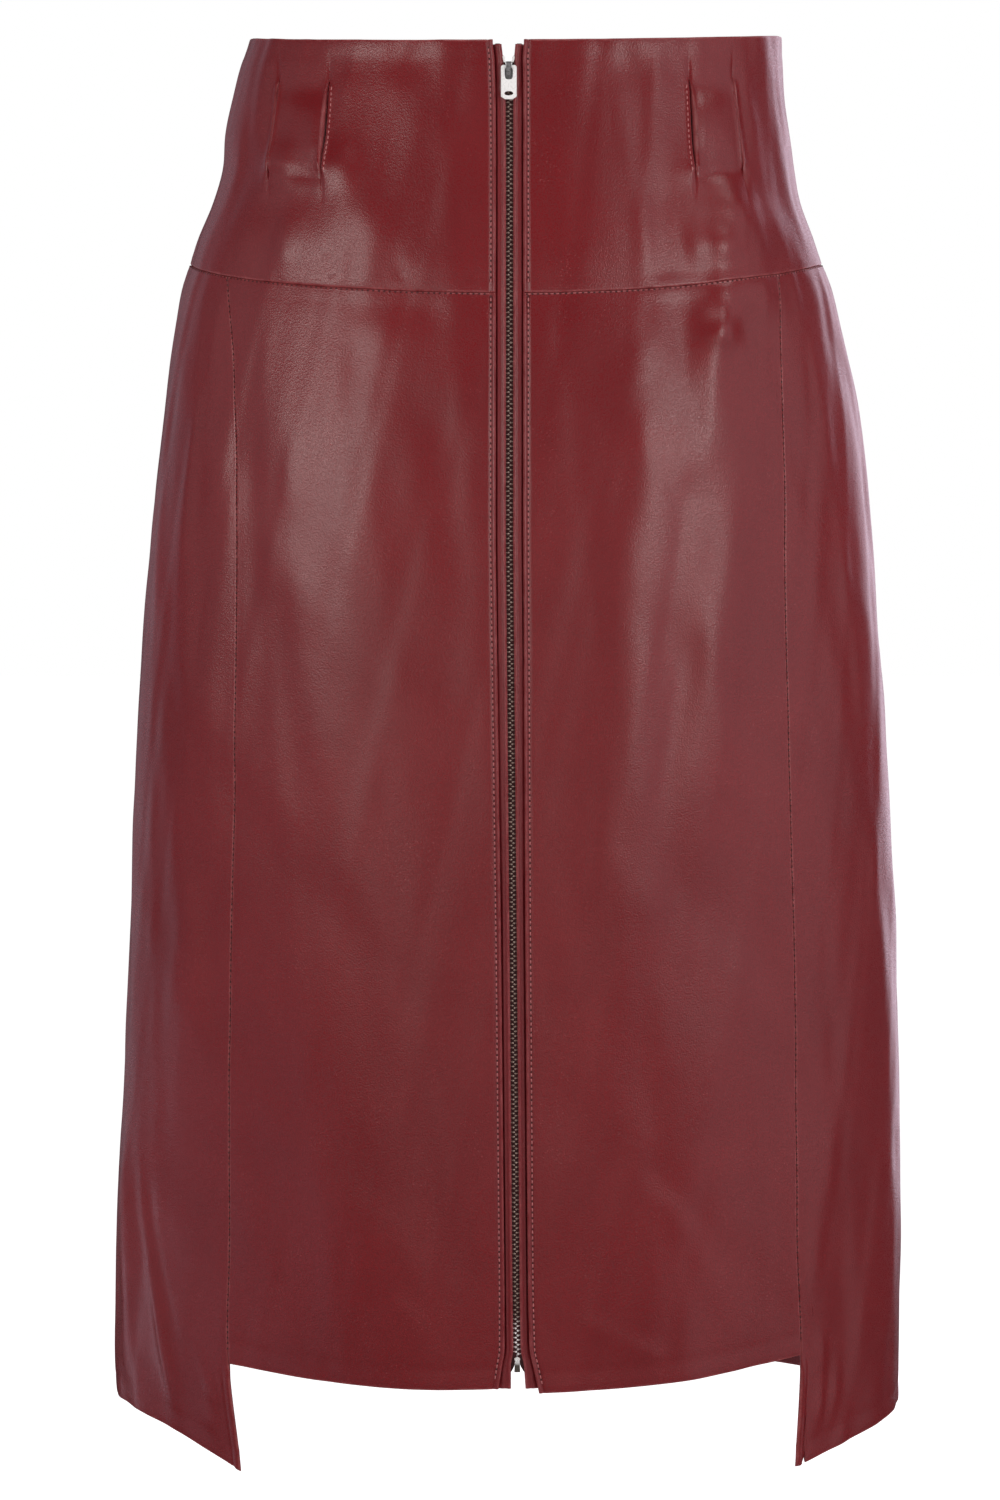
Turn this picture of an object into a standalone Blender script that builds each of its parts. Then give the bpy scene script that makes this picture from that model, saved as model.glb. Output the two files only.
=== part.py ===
"""Leather skirt with a high hip yoke, a front zip from waist to hem and pointed side panels.

The skirt keeps its worn, hollow form. Units are metres, +Z is up and the front faces -Y.
The origin is the centre of the waist. Left is -X and right is +X, as seen from the front.
An angle goes round the skirt from centre front: 90 degrees is the right side, 180 the back.
"""

import math
from collections import namedtuple

import bmesh
import bpy
import numpy as np

# Cloth
WALL = 0.0015  # leather with its glued seam allowances
FACING_WALL = 0.0013
SEAM_GAP = 0.0003
SEAM_TURN = 0.0012  # an angle in radians from a seam to each piece's edge, about half of its gap
LAYER_GAP = 0.0003
FACING_OUT = -WALL - LAYER_GAP  # outer face of the zip facings, from the skirt's surface
FACING_UNDERLAP = 0.008  # how far a facing reaches under its front edge

# Body of the skirt: half-widths and half-depths of its sections. A section is an ellipse
# where square is 0, squarer where it is more, and drawn out to the sides where it is less.
Section = namedtuple("Section", "height left right front back square")
SECTIONS = (
    Section(0.010, 0.1278, 0.1327, 0.0965, 0.0940, 0.04),
    Section(-0.003, 0.1301, 0.1332, 0.0970, 0.0950, 0.04),
    Section(-0.014, 0.1342, 0.1338, 0.0980, 0.0962, 0.04),
    Section(-0.030, 0.1382, 0.1349, 0.0997, 0.0990, 0.04),
    Section(-0.048, 0.1422, 0.1378, 0.1020, 0.1030, 0.04),
    Section(-0.066, 0.1438, 0.1402, 0.1046, 0.1080, 0.04),
    Section(-0.080, 0.1479, 0.1428, 0.1069, 0.1118, 0.03),
    Section(-0.100, 0.1560, 0.1501, 0.1100, 0.1168, 0.03),
    Section(-0.120, 0.1628, 0.1578, 0.1130, 0.1215, 0.02),
    Section(-0.150, 0.1688, 0.1650, 0.1176, 0.1275, 0.02),
    Section(-0.190, 0.1742, 0.1726, 0.1228, 0.1330, 0.01),
    Section(-0.250, 0.1806, 0.1790, 0.1282, 0.1370, 0.00),
    Section(-0.330, 0.1868, 0.1861, 0.1328, 0.1400, -0.01),
    Section(-0.430, 0.1912, 0.1914, 0.1368, 0.1428, -0.03),
    Section(-0.530, 0.1956, 0.1948, 0.1400, 0.1452, -0.06),
    Section(-0.610, 0.1999, 0.1958, 0.1420, 0.1474, -0.10),
    Section(-0.670, 0.2006, 0.1958, 0.1432, 0.1490, -0.14),
    Section(-0.720, 0.1960, 0.1955, 0.1440, 0.1500, -0.16),
)

# Broad folds. Angles in degrees; a fold runs from its top to its bottom and fades at both.
FOLD_RADIUS = 0.16  # turns an angle across a fold into a distance
FOLD_FADE = 0.25  # share of a fold's length over which each end fades
Fold = namedtuple("Fold", "top_angle top_height low_angle low_height half_width rise")
FOLDS = (
    Fold(-30, -0.110, -17, -0.720, 0.034, 0.0038),
    Fold(24, -0.105, 14, -0.520, 0.018, 0.0030),
    Fold(40, -0.110, 27, -0.430, 0.015, 0.0024),
    Fold(33, -0.420, 25, -0.760, 0.030, 0.0026),
    Fold(-53, -0.140, -58, -0.560, 0.015, 0.0032),
    Fold(-80, -0.520, -62, -0.780, 0.013, 0.0034),
    Fold(50, -0.500, 49, -0.780, 0.016, 0.0030),
    Fold(72, -0.200, 76, -0.720, 0.022, 0.0020),
    Fold(122, -0.160, 116, -0.740, 0.024, 0.0044),
    Fold(158, -0.120, 165, -0.640, 0.032, 0.0040),
    Fold(196, -0.120, 190, -0.740, 0.030, 0.0032),
    Fold(222, -0.300, 214, -0.760, 0.020, 0.0036),
    Fold(244, -0.160, 240, -0.600, 0.024, 0.0040),
)

# Edges of the pieces, by side. A dip is from the sides down to centre front or centre back.
# The front hem rises and sags from the zip to the front seam, the other hem drops to its tips.
Edges = namedtuple("Edges", "waist yoke yoke_curve front_hem front_rise front_sag hem tip_drop tip_curve")
LEFT_EDGES = Edges(-0.0012, -0.1125, 1.00, -0.6502, 0.0013, 0.0018, -0.6796, 0.0234, 1.60)
RIGHT_EDGES = Edges(0.0000, -0.1122, 1.35, -0.6530, 0.0079, -0.0008, -0.6836, 0.0178, 0.76)
WAIST_DIP_FRONT = 0.0058
WAIST_DIP_BACK = 0.0098
YOKE_DIP = 0.0147
SIDE_ROUNDING = 0.25  # softens both lines where they pass the sides
FRONT_HEM_REACH = 0.146  # half-width times the sine of the angle, at the front seams
TIP_SHARE = 0.668  # a side panel's front corner: its x as a share of the half-width
SIDE_SEAM_ANGLE = 93.0  # of the yoke, just behind the side
BACK_SEAM_X = 0.135

FrontSeam = namedtuple("FrontSeam", "height left right")
FRONT_SEAMS = (
    FrontSeam(-0.100, 0.1395, 0.1280),
    FrontSeam(-0.120, 0.1384, 0.1287),
    FrontSeam(-0.160, 0.1350, 0.1302),
    FrontSeam(-0.320, 0.1337, 0.1332),
    FrontSeam(-0.500, 0.1374, 0.1376),
    FrontSeam(-0.600, 0.1384, 0.1376),
    FrontSeam(-0.645, 0.1391, 0.1394),
    FrontSeam(-0.700, 0.1333, 0.1370),
)

# Zip: its centre line, and half the gaps between its facings and between the front edges
ZipRow = namedtuple("ZipRow", "height centre facing_gap edge_gap")
ZIP = (
    ZipRow(0.0050, -0.0021, 0.0039, 0.0076),
    ZipRow(-0.0087, -0.0020, 0.0037, 0.0074),
    ZipRow(-0.0154, -0.0019, 0.0030, 0.0068),
    ZipRow(-0.0270, -0.0016, 0.0030, 0.0067),
    ZipRow(-0.0335, -0.0015, 0.0022, 0.0066),
    ZipRow(-0.0600, -0.0014, 0.0021, 0.0065),
    ZipRow(-0.2450, -0.0015, 0.0021, 0.0066),
    ZipRow(-0.4350, 0.0003, 0.0021, 0.0058),
    ZipRow(-0.6050, 0.0018, 0.0021, 0.0056),
    ZipRow(-0.6325, 0.0022, 0.0021, 0.0060),
    ZipRow(-0.6390, 0.0024, 0.0035, 0.0074),
    ZipRow(-0.6560, 0.0030, 0.0041, 0.0105),
)
FACING_TOP_DROP = 0.0020
FACING_BOTTOM = -0.6506

# Belt slits in the front yokes: the strip between them stands out as a belt carrier
SLIT_TOP = 0.172  # share of the yoke's height
SLIT_BOTTOM = 0.560
SLIT_HALF_WIDTH = 0.0004
SLIT_SINK = 0.6  # how far towards the centre front the slits lie, as shares of the edges' dips
STRIP_RISE = 0.0040
STRIP_PULL = 0.0030  # how far the strip's inner edge draws back from its slit
Slit = namedtuple("Slit", "outer_top outer_bottom inner_top inner_bottom")
SLIT_LEFT = Slit(0.1136, 0.1164, 0.0886, 0.0896)
SLIT_RIGHT = Slit(0.1067, 0.1108, 0.0853, 0.0866)

# Zip hardware. Heights along the zip are of the skirt; "out" is from its surface.
CHAIN_HALF_WIDTH = 0.0018
CHAIN_OUT = -0.0015
CHAIN_THICK = 0.0016
CHAIN_TOP = -0.0266
CHAIN_END = -0.6350
PULL_AXIS = -0.0193
PULL_AXIS_OUT = -0.0001
PULL_WIDE = 0.0075
PULL_LONG = 0.0164
PULL_THICK = 0.0011
PULL_BAR = 0.0011
PULL_TOP_CORNER = 0.0007
PULL_LOW_CORNER_WIDE = 0.0018
PULL_LOW_CORNER_TALL = 0.0013
WINDOW_WIDE = 0.0038
WINDOW_LONG = 0.0058
WINDOW_POWER = 0.55  # makes its oval squarer
HOLE_WIDE = 0.0042
HOLE_TALL = 0.0021
HOLE_DROP = 0.0130  # from the pull's axis to the centre of its oval hole
SLIDER_RISE = 0.0025  # of the slider's top above the pull's axis
SLIDER_LONG = 0.0094
SLIDER_WIDE = 0.0052
SLIDER_THICK = 0.0030
SLIDER_OUT = -0.0011
SLIDER_TAPER = 0.0006
SLIDER_NECK = 0.0022  # from its top down to its shoulders
SLIDER_SHOULDER = 0.0012  # height of the slope of its shoulders
SLIDER_STRAIGHT = 0.6  # share of its length down to where it tapers
METAL_BEVEL = 0.0002
BRIDGE_WIDE = 0.0026
BRIDGE_THICK = 0.0008
BRIDGE_LONG = 0.0071
BRIDGE_SLOPE = 0.0009  # length of each of its sloping ends
BRIDGE_ROOT = 0.0006  # how deep the bridge's feet go into the body
BRIDGE_INSET = 0.00005  # of its sides from the body's nose
TUNNEL = 0.0020  # square space under the bridge that the pull's bar turns in
STOP_WIDE = 0.0010
STOP_LONG = 0.0030
STOP_THICK = 0.0016
STOP_SIDE = 0.0022
STOP_LEAN = 0.0003
STOP_HEIGHT = -0.0158
STOP_OUT = -0.0008
END_TOP = -0.6354
END_OUT = -0.0008
END_THICK = 0.0022
EndCorner = namedtuple("EndCorner", "half_width drop")
END_CORNERS = (
    EndCorner(0.0008, 0.0),
    EndCorner(0.0014, 0.0005),
    EndCorner(0.0014, 0.0011),
    EndCorner(0.0009, 0.0017),
    EndCorner(0.0012, 0.0022),
    EndCorner(0.0014, 0.0070),
)

# Grid sizes
GRID_ROUNDS = 12  # repeats that settle where the lines down and the lines round cross
PANEL_ROWS = 25
FRONT_COLUMNS = 11
SIDE_COLUMNS = 13
BACK_COLUMNS = 14
YOKE_SHARES = (0.0, 0.08, SLIT_TOP, 0.25, 0.33, 0.41, 0.485, SLIT_BOTTOM, 0.66, 0.77, 0.885, 1.0)
YOKE_COLUMNS = (5, 1, 4, 1, 7)  # from the side: plain cloth, a slit, the strip, a slit, plain cloth
STRIP_OUTER_SHARE = 0.25  # of the strip's rise, at its outer edge
BACK_YOKE_ROWS = 9
BACK_YOKE_COLUMNS = 20
FACING_ROWS = 20
CHAIN_ROWS = 24

LEATHER = (0.155, 0.018, 0.022, 1.0)
FACING_LEATHER = (0.175, 0.026, 0.032, 1.0)
NICKEL = (0.72, 0.71, 0.70, 1.0)
DARK_METAL = (0.20, 0.17, 0.15, 1.0)


def through(table, column, height):
    """Values of a smooth curve through one column of a table, at the given heights."""
    rows = sorted(table)
    heights = np.array([row.height for row in rows])
    values = np.array([getattr(row, column) for row in rows])
    slopes = np.gradient(values, heights)
    height = np.clip(height, heights[0], heights[-1])
    low = np.clip(np.searchsorted(heights, height) - 1, 0, len(rows) - 2)
    span = heights[low + 1] - heights[low]
    t = (height - heights[low]) / span
    start = (1 + 2 * t) * (1 - t) ** 2 * values[low]
    end = t**2 * (3 - 2 * t) * values[low + 1]
    lean = span * t * (1 - t) * ((1 - t) * slopes[low] - t * slopes[low + 1])
    return start + end + lean


def along(table, column, height):
    """The same, in straight lines from row to row."""
    rows = sorted(table)
    return np.interp(height, [row.height for row in rows], [getattr(row, column) for row in rows])


def mix(a, b, t):
    return a + (b - a) * t


def ease(t):
    t = np.clip(t, 0, 1)
    return t * t * (3 - 2 * t)


# The skirt's surface


def fold_rise(angle, height):
    """How far the folds stand out at an angle and a height."""
    total = np.zeros(np.broadcast(angle, height).shape)
    for fold in FOLDS:
        down = (fold.top_height - height) / (fold.top_height - fold.low_height)
        centre = np.radians(mix(fold.top_angle, fold.low_angle, down))
        turn = (angle - centre + math.pi) % (2 * math.pi) - math.pi
        across = turn * FOLD_RADIUS / fold.half_width
        fade = ease(down / FOLD_FADE) * ease((1 - down) / FOLD_FADE)
        total = total + fold.rise * fade * np.exp(-(across**2))
    return total


def surface(angle, height):
    """Points on the skirt's outer surface."""
    sine, cosine = np.sin(angle), np.cos(angle)
    left, right = through(SECTIONS, "left", height), through(SECTIONS, "right", height)
    front, back = through(SECTIONS, "front", height), through(SECTIONS, "back", height)
    square = through(SECTIONS, "square", height)
    half_width = np.where(sine < 0, left, right)
    half_depth = np.where(cosine > 0, front, back)
    x = half_width * sine * (1 + square * cosine**2)
    y = -half_depth * cosine * (1 + square * sine**2)
    out_x, out_y = sine * half_depth, -cosine * half_width
    rise = fold_rise(angle, height) / np.hypot(out_x, out_y)
    return np.stack([x + rise * out_x, y + rise * out_y, height + 0 * x], axis=-1)


def outward(angle, height):
    """Unit normals of the surface."""
    step = 0.0005
    across = surface(angle + step, height) - surface(angle - step, height)
    up = surface(angle, height + step) - surface(angle, height - step)
    normal = np.cross(across, up)
    return normal / np.linalg.norm(normal, axis=-1, keepdims=True)


def angle_at(x, height):
    """The front angle whose point on the surface lies at x."""
    half_width = np.where(x < 0, through(SECTIONS, "left", height), through(SECTIONS, "right", height))
    share = np.abs(x) / half_width
    square = through(SECTIONS, "square", height)
    low, high = np.zeros_like(share), np.full_like(share, math.pi / 2)
    for _ in range(40):
        middle = (low + high) / 2
        inside = np.sin(middle) * (1 + square * np.cos(middle) ** 2) < share
        low, high = np.where(inside, middle, low), np.where(inside, high, middle)
    return np.sign(x) * (low + high) / 2


def edges_of(side):
    return RIGHT_EDGES if side > 0 else LEFT_EDGES


def beside(line, side):
    """A line a little to one side of a seam; side is 1 to the right, -1 to the left."""
    return lambda height: line(height) + side * SEAM_TURN


# Lines that run down the skirt, as functions from a height to an angle


def front_seam(side):
    column = "right" if side > 0 else "left"
    return lambda height: angle_at(side * through(FRONT_SEAMS, column, height), height)


def back_seam(side):
    return lambda height: side * math.pi - angle_at(side * BACK_SEAM_X + 0 * height, height)


def side_seam(side):
    return lambda height: side * math.radians(SIDE_SEAM_ANGLE) + 0 * height


def round_the_back(line):
    """A line of the left side, with its angles counted on from the right and round the back."""
    return lambda height: line(height) + 2 * math.pi


def beside_zip(side, gap, extra=0.0):
    """A line beside the zip's centre, at half of the named gap and then extra further out."""

    def line(height):
        reach = along(ZIP, gap, height) + extra
        return angle_at(along(ZIP, "centre", height) + side * reach, height)

    return line


def slit_line(side, outer, shift, pull=0.0):
    """A belt slit's edge; shift is towards the side of the skirt, pull adds to it half-way down."""
    slit = SLIT_RIGHT if side > 0 else SLIT_LEFT
    top, bottom = (slit.outer_top, slit.outer_bottom) if outer else (slit.inner_top, slit.inner_bottom)
    edges = edges_of(side)
    upper = edges.waist - SLIT_SINK * WAIST_DIP_FRONT
    lower = edges.yoke - SLIT_SINK * YOKE_DIP

    def line(height):
        share = (upper - height) / (upper - lower)
        down = np.clip((share - SLIT_TOP) / (SLIT_BOTTOM - SLIT_TOP), 0, 1)
        bow = shift + pull * np.sin(math.pi * down)
        return angle_at(side * (mix(top, bottom, down) + bow), height)

    return line


# Lines that run round the skirt, as functions from an angle to a height


def sink(angle):
    """How far round towards the centre an angle is: 0 at the sides, 1 at centre front and back."""
    rounded = np.sqrt(np.cos(angle) ** 2 + SIDE_ROUNDING**2) - SIDE_ROUNDING
    return rounded / (math.sqrt(1 + SIDE_ROUNDING**2) - SIDE_ROUNDING)


def by_side(edge, angle):
    """A named edge's value, passing smoothly from the left side's to the right side's."""
    left, right = getattr(LEFT_EDGES, edge), getattr(RIGHT_EDGES, edge)
    return mix(left, right, ease((1 + np.sin(angle)) / 2))


def waist_edge(angle):
    dip = np.where(np.cos(angle) > 0, WAIST_DIP_FRONT, WAIST_DIP_BACK)
    return by_side("waist", angle) - dip * sink(angle)


def yoke_seam(angle):
    return by_side("yoke", angle) - YOKE_DIP * sink(angle) ** by_side("yoke_curve", angle)


def front_hem(side):
    edges = edges_of(side)
    half_width = through(SECTIONS, "left", np.array(edges.front_hem))

    def line(angle):
        share = half_width * np.abs(np.sin(angle)) / FRONT_HEM_REACH
        return edges.front_hem + edges.front_rise * share**3 - edges.front_sag * np.sin(math.pi * share)

    return line


def long_hem(angle):
    """The hem of the side and back panels, which drops to a corner at each front seam."""
    sine, cosine = np.sin(angle), np.cos(angle)
    square = through(SECTIONS, "square", np.array(LEFT_EDGES.hem))
    reach = np.abs(sine) * (1 + square * cosine**2)
    share = np.clip((1 - reach) / (1 - TIP_SHARE), 0, None)
    drop = by_side("tip_drop", angle) * share ** by_side("tip_curve", angle)
    return by_side("hem", angle) - np.where(cosine > 0, drop, 0)


# Making pieces


def clear_scene():
    for old in list(bpy.data.objects):
        bpy.data.objects.remove(old, do_unlink=True)


def new_material(name, colour, roughness, metallic=0.0):
    material = bpy.data.materials.new(name)
    material.use_nodes = True
    principled = material.node_tree.nodes["Principled BSDF"]
    principled.inputs["Base Color"].default_value = colour
    principled.inputs["Roughness"].default_value = roughness
    principled.inputs["Metallic"].default_value = metallic
    material.diffuse_color = colour
    return material


def new_object(name, data, material):
    data.materials.append(material)
    thing = bpy.data.objects.new(name, data)
    bpy.context.scene.collection.objects.link(thing)
    return thing


def grid(lines, columns, top, bottom, shares):
    """Angles and heights of a piece's points, row by row.

    lines are its upright lines from left to right, columns the number of steps between them,
    top and bottom its ends, and shares the rows' places from 0 at the top to 1 at the bottom.
    """
    shares = np.array(shares)[:, None]
    places = [0.0]
    for stretch, count in enumerate(columns):
        places += [stretch + (step + 1) / count for step in range(count)]
    places = np.array(places)[None, :]
    height = mix(LEFT_EDGES.waist, LEFT_EDGES.hem, shares) + 0 * places
    for _ in range(GRID_ROUNDS):
        edges = np.stack([line(height) for line in lines])
        stretch = np.clip(np.floor(places), 0, len(lines) - 2).astype(int) + np.zeros_like(height, int)
        left = np.take_along_axis(edges, stretch[None], 0)[0]
        right = np.take_along_axis(edges, stretch[None] + 1, 0)[0]
        angle = mix(left, right, places - stretch)
        height = mix(top(angle), bottom(angle), shares)
    return angle, height


def wall(name, angle, height, material, out=0.0, thickness=WALL, holes=()):
    """A closed wall over a grid: out is where its outer face is from the surface, at each point."""
    rows, columns = angle.shape
    points, normals = surface(angle, height), outward(angle, height)
    out = np.broadcast_to(out, angle.shape)[..., None]
    layers = np.stack([points + out * normals, points + (out - thickness) * normals])
    mesh = bpy.data.meshes.new(name)
    work = bmesh.new()
    corners = [work.verts.new(point) for point in layers.reshape(-1, 3)]
    cells = [
        (row, column)
        for row in range(rows - 1)
        for column in range(columns - 1)
        if (row, column) not in holes
    ]
    sides = {}
    for row, column in cells:
        ring = [(row, column), (row + 1, column), (row + 1, column + 1), (row, column + 1)]
        index = [r * columns + c for r, c in ring]
        work.faces.new([corners[i] for i in index])
        work.faces.new([corners[i + rows * columns] for i in reversed(index)])
        for first, second in zip(index, index[1:] + index[:1]):
            sides[(first, second)] = True
    for first, second in sides:
        if (second, first) not in sides:
            rim = (second, first, first + rows * columns, second + rows * columns)
            work.faces.new([corners[i] for i in rim])
    loose = [corner for corner in work.verts if not corner.link_faces]
    bmesh.ops.delete(work, geom=loose, context="VERTS")
    work.to_mesh(mesh)
    work.free()
    mesh.shade_smooth()
    mesh.set_sharp_from_angle(angle=math.radians(40))
    return new_object(name, mesh, material)


def panel(name, lines, columns, top, bottom, material, rows=PANEL_ROWS):
    angle, height = grid(lines, columns, top, bottom, np.linspace(0, 1, rows))
    return wall(name, angle, height, material)


def level(height):
    return lambda angle: height + 0 * angle


def below(line):
    return lambda angle: line(angle) - SEAM_GAP / 2


def above(line):
    return lambda angle: line(angle) + SEAM_GAP / 2


def front_yoke(name, side, material):
    """A front yoke with its two slits; the strip between them stands out."""
    outer_cloth = slit_line(side, True, SLIT_HALF_WIDTH)
    outer_strip = slit_line(side, True, -SLIT_HALF_WIDTH)
    inner_strip = slit_line(side, False, SLIT_HALF_WIDTH, STRIP_PULL)
    inner_cloth = slit_line(side, False, -SLIT_HALF_WIDTH)
    lines = [beside(side_seam(side), -side), outer_cloth, outer_strip, inner_strip, inner_cloth]
    lines.append(beside_zip(side, "edge_gap"))
    columns = list(YOKE_COLUMNS)
    steps = columns[2]
    strip_rise = STRIP_RISE * mix(STRIP_OUTER_SHARE, 1, ease(np.linspace(0, 1, steps + 1)))
    if side > 0:
        lines.reverse()
        columns.reverse()
        strip_rise = strip_rise[::-1]
    angle, height = grid(lines, columns, waist_edge, above(yoke_seam), YOKE_SHARES)
    shares = np.array(YOKE_SHARES)[:, None]
    down = np.clip((shares - SLIT_TOP) / (SLIT_BOTTOM - SLIT_TOP), 0, 1)
    first = sum(columns[:2])
    out = np.zeros(angle.shape)
    out[:, first : first + steps + 1] = strip_rise * np.sin(math.pi * down)
    slit_rows = range(YOKE_SHARES.index(SLIT_TOP), YOKE_SHARES.index(SLIT_BOTTOM))
    slit_columns = (first - 1, first + steps)
    holes = {(row, column) for row in slit_rows for column in slit_columns}
    return wall(name, angle, height, material, out=out, holes=holes)


def zip_facing(name, side, material):
    """The strip under a front edge that carries one side of the zip."""
    lines = [beside_zip(side, "facing_gap"), beside_zip(side, "edge_gap")]
    lines.append(beside_zip(side, "edge_gap", FACING_UNDERLAP))
    if side < 0:
        lines.reverse()
    top = float(waist_edge(0.0)) - FACING_TOP_DROP
    rows = {row.height for row in ZIP[1:-1]} | set(np.linspace(top, FACING_BOTTOM, FACING_ROWS))
    shares = [(top - height) / (top - FACING_BOTTOM) for height in sorted(rows, reverse=True)]
    angle, height = grid(lines, [1, 1], level(top), level(FACING_BOTTOM), shares)
    return wall(name, angle, height, material, out=FACING_OUT, thickness=FACING_WALL)


def zip_chain(material):
    def line(side):
        return lambda height: angle_at(along(ZIP, "centre", height) + side * CHAIN_HALF_WIDTH, height)

    shares = np.linspace(0, 1, CHAIN_ROWS)
    angle, height = grid([line(-1), line(1)], [1], level(CHAIN_TOP), level(CHAIN_END), shares)
    return wall("zip_chain", angle, height, material, out=CHAIN_OUT, thickness=CHAIN_THICK)


def seat(thing, height, out, aside=0.0):
    """Places an object on the zip: its +Z outward, its +Y up along the skirt, aside along X."""
    height = np.array(height)
    angle = angle_at(along(ZIP, "centre", height) + aside, height)
    normal = outward(angle, height)
    tilt = math.atan2(normal[2], -normal[1])
    thing.location = surface(angle, height) + out * normal
    thing.rotation_euler = (math.pi / 2 - tilt, 0, 0)
    return thing


def outline_plate(name, outlines, thickness, material, bevel):
    """A flat plate with holes, as a filled curve: outlines are closed rings of (x, y)."""
    curve = bpy.data.curves.new(name, "CURVE")
    curve.dimensions = "2D"
    curve.fill_mode = "BOTH"
    curve.extrude = thickness / 2 - bevel
    curve.bevel_depth = bevel
    curve.bevel_resolution = 0
    curve.offset = -bevel
    for ring in outlines:
        spline = curve.splines.new("POLY")
        spline.points.add(len(ring) - 1)
        for point, (x, y) in zip(spline.points, ring):
            point.co = (x, y, 0, 1)
        spline.use_cyclic_u = True
    return new_object(name, curve, material)


def prism(name, ring, depth, material, bevel=0.0):
    """A closed ring of points drawn out by the vector depth, with its edges bevelled."""
    mesh = bpy.data.meshes.new(name)
    work = bmesh.new()
    near = [work.verts.new(point) for point in ring]
    face = work.faces.new(near)
    grown = bmesh.ops.extrude_face_region(work, geom=[face])
    far = [item for item in grown["geom"] if isinstance(item, bmesh.types.BMVert)]
    bmesh.ops.translate(work, vec=depth, verts=far)
    bmesh.ops.recalc_face_normals(work, faces=work.faces)
    work.to_mesh(mesh)
    work.free()
    thing = new_object(name, mesh, material)
    if bevel:
        rounding = thing.modifiers.new("edges", "BEVEL")
        rounding.width = bevel
        rounding.segments = 1
    return thing


def mirrored(half):
    """A closed ring from its right half, listed from top to bottom."""
    return [*half, *[(-x, y) for x, y in reversed(half) if x > 0]]


def oval(wide, tall, centre_y, power=1.0, count=16):
    """Points of an oval; a power under 1 makes it squarer."""

    def bent(value):
        return math.copysign(abs(value) ** power, value)

    turns = [2 * math.pi * step / count for step in range(count)]
    return [
        (wide / 2 * bent(math.cos(turn)), centre_y + tall / 2 * bent(math.sin(turn))) for turn in turns
    ]


def zip_pull(material):
    """The pull tab. Its origin is on the axis of the bar that turns under the bridge."""
    top, bottom = PULL_BAR / 2, PULL_BAR / 2 - PULL_LONG
    half = PULL_WIDE / 2
    outline = [
        (half - PULL_TOP_CORNER, top),
        (half, top - PULL_TOP_CORNER),
        (half, bottom + PULL_LOW_CORNER_TALL),
        (half - PULL_LOW_CORNER_WIDE, bottom),
    ]
    window = oval(WINDOW_WIDE, WINDOW_LONG, -PULL_BAR / 2 - WINDOW_LONG / 2, power=WINDOW_POWER)
    hole = oval(HOLE_WIDE, HOLE_TALL, -HOLE_DROP)
    rings = [mirrored(outline), window, hole]
    pull = outline_plate("zip_pull", rings, PULL_THICK, material, bevel=METAL_BEVEL)
    return seat(pull, PULL_AXIS, PULL_AXIS_OUT)


def zip_slider(material):
    """The slider's body, joined with the bridge that holds the pull's bar."""
    front = SLIDER_OUT - PULL_AXIS_OUT  # both are measured from the pull's axis
    top, bottom = SLIDER_RISE, SLIDER_RISE - SLIDER_LONG
    half, nose = SLIDER_WIDE / 2, BRIDGE_WIDE / 2
    shoulder = top - SLIDER_NECK
    outline = [
        (nose, top),
        (nose, shoulder),
        (half, shoulder - SLIDER_SHOULDER),
        (half, top - SLIDER_STRAIGHT * SLIDER_LONG),
        (half - SLIDER_TAPER, bottom),
    ]
    ring = [(x, y, front - SLIDER_THICK) for x, y in mirrored(outline)]
    body = prism("zip_slider", ring, (0, 0, SLIDER_THICK), material, bevel=METAL_BEVEL)
    clear, root = TUNNEL / 2, front - BRIDGE_ROOT
    rise, start, end = clear + BRIDGE_THICK, top - METAL_BEVEL, top - BRIDGE_LONG
    arch = [
        (start, root),
        (start, 0),
        (start - BRIDGE_SLOPE, rise),
        (end + 2 * BRIDGE_SLOPE, rise),
        (end + BRIDGE_SLOPE, rise / 2),
        (end, root),
        (-clear, root),
        (-clear, clear),
        (clear, clear),
        (clear, root),
    ]
    inner = nose - BRIDGE_INSET
    ring = [(-inner, y, z) for y, z in arch]
    bridge = prism("slider_bridge", ring, (2 * inner, 0, 0), material)
    bridge.hide_render = True
    bridge.display_type = "WIRE"
    join = body.modifiers.new("bridge", "BOOLEAN")
    join.operation = "UNION"
    join.solver = "EXACT"
    join.object = bridge
    for thing in (body, bridge):
        seat(thing, PULL_AXIS, PULL_AXIS_OUT)
    return body


def zip_top_stop(name, side, material):
    """A top stop: a small bar that leans outward at its top."""
    lean = side * STOP_LEAN
    half, tall = STOP_WIDE / 2, STOP_LONG / 2
    corners = [(half + lean, tall), (half - lean, -tall), (-half - lean, -tall), (-half + lean, tall)]
    ring = [(x, y, -STOP_THICK) for x, y in corners]
    stop = prism(name, ring, (0, 0, STOP_THICK), material, bevel=METAL_BEVEL)
    return seat(stop, STOP_HEIGHT, STOP_OUT, aside=side * STOP_SIDE)


def zip_end_box(material):
    """The retainer below the last teeth: a rounded head on a neck, over a flared box."""
    outline = [(corner.half_width, -corner.drop) for corner in END_CORNERS]
    ring = [(x, y, -END_THICK) for x, y in mirrored(outline)]
    box = prism("zip_end_box", ring, (0, 0, END_THICK), material, bevel=METAL_BEVEL)
    return seat(box, END_TOP, END_OUT)


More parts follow.
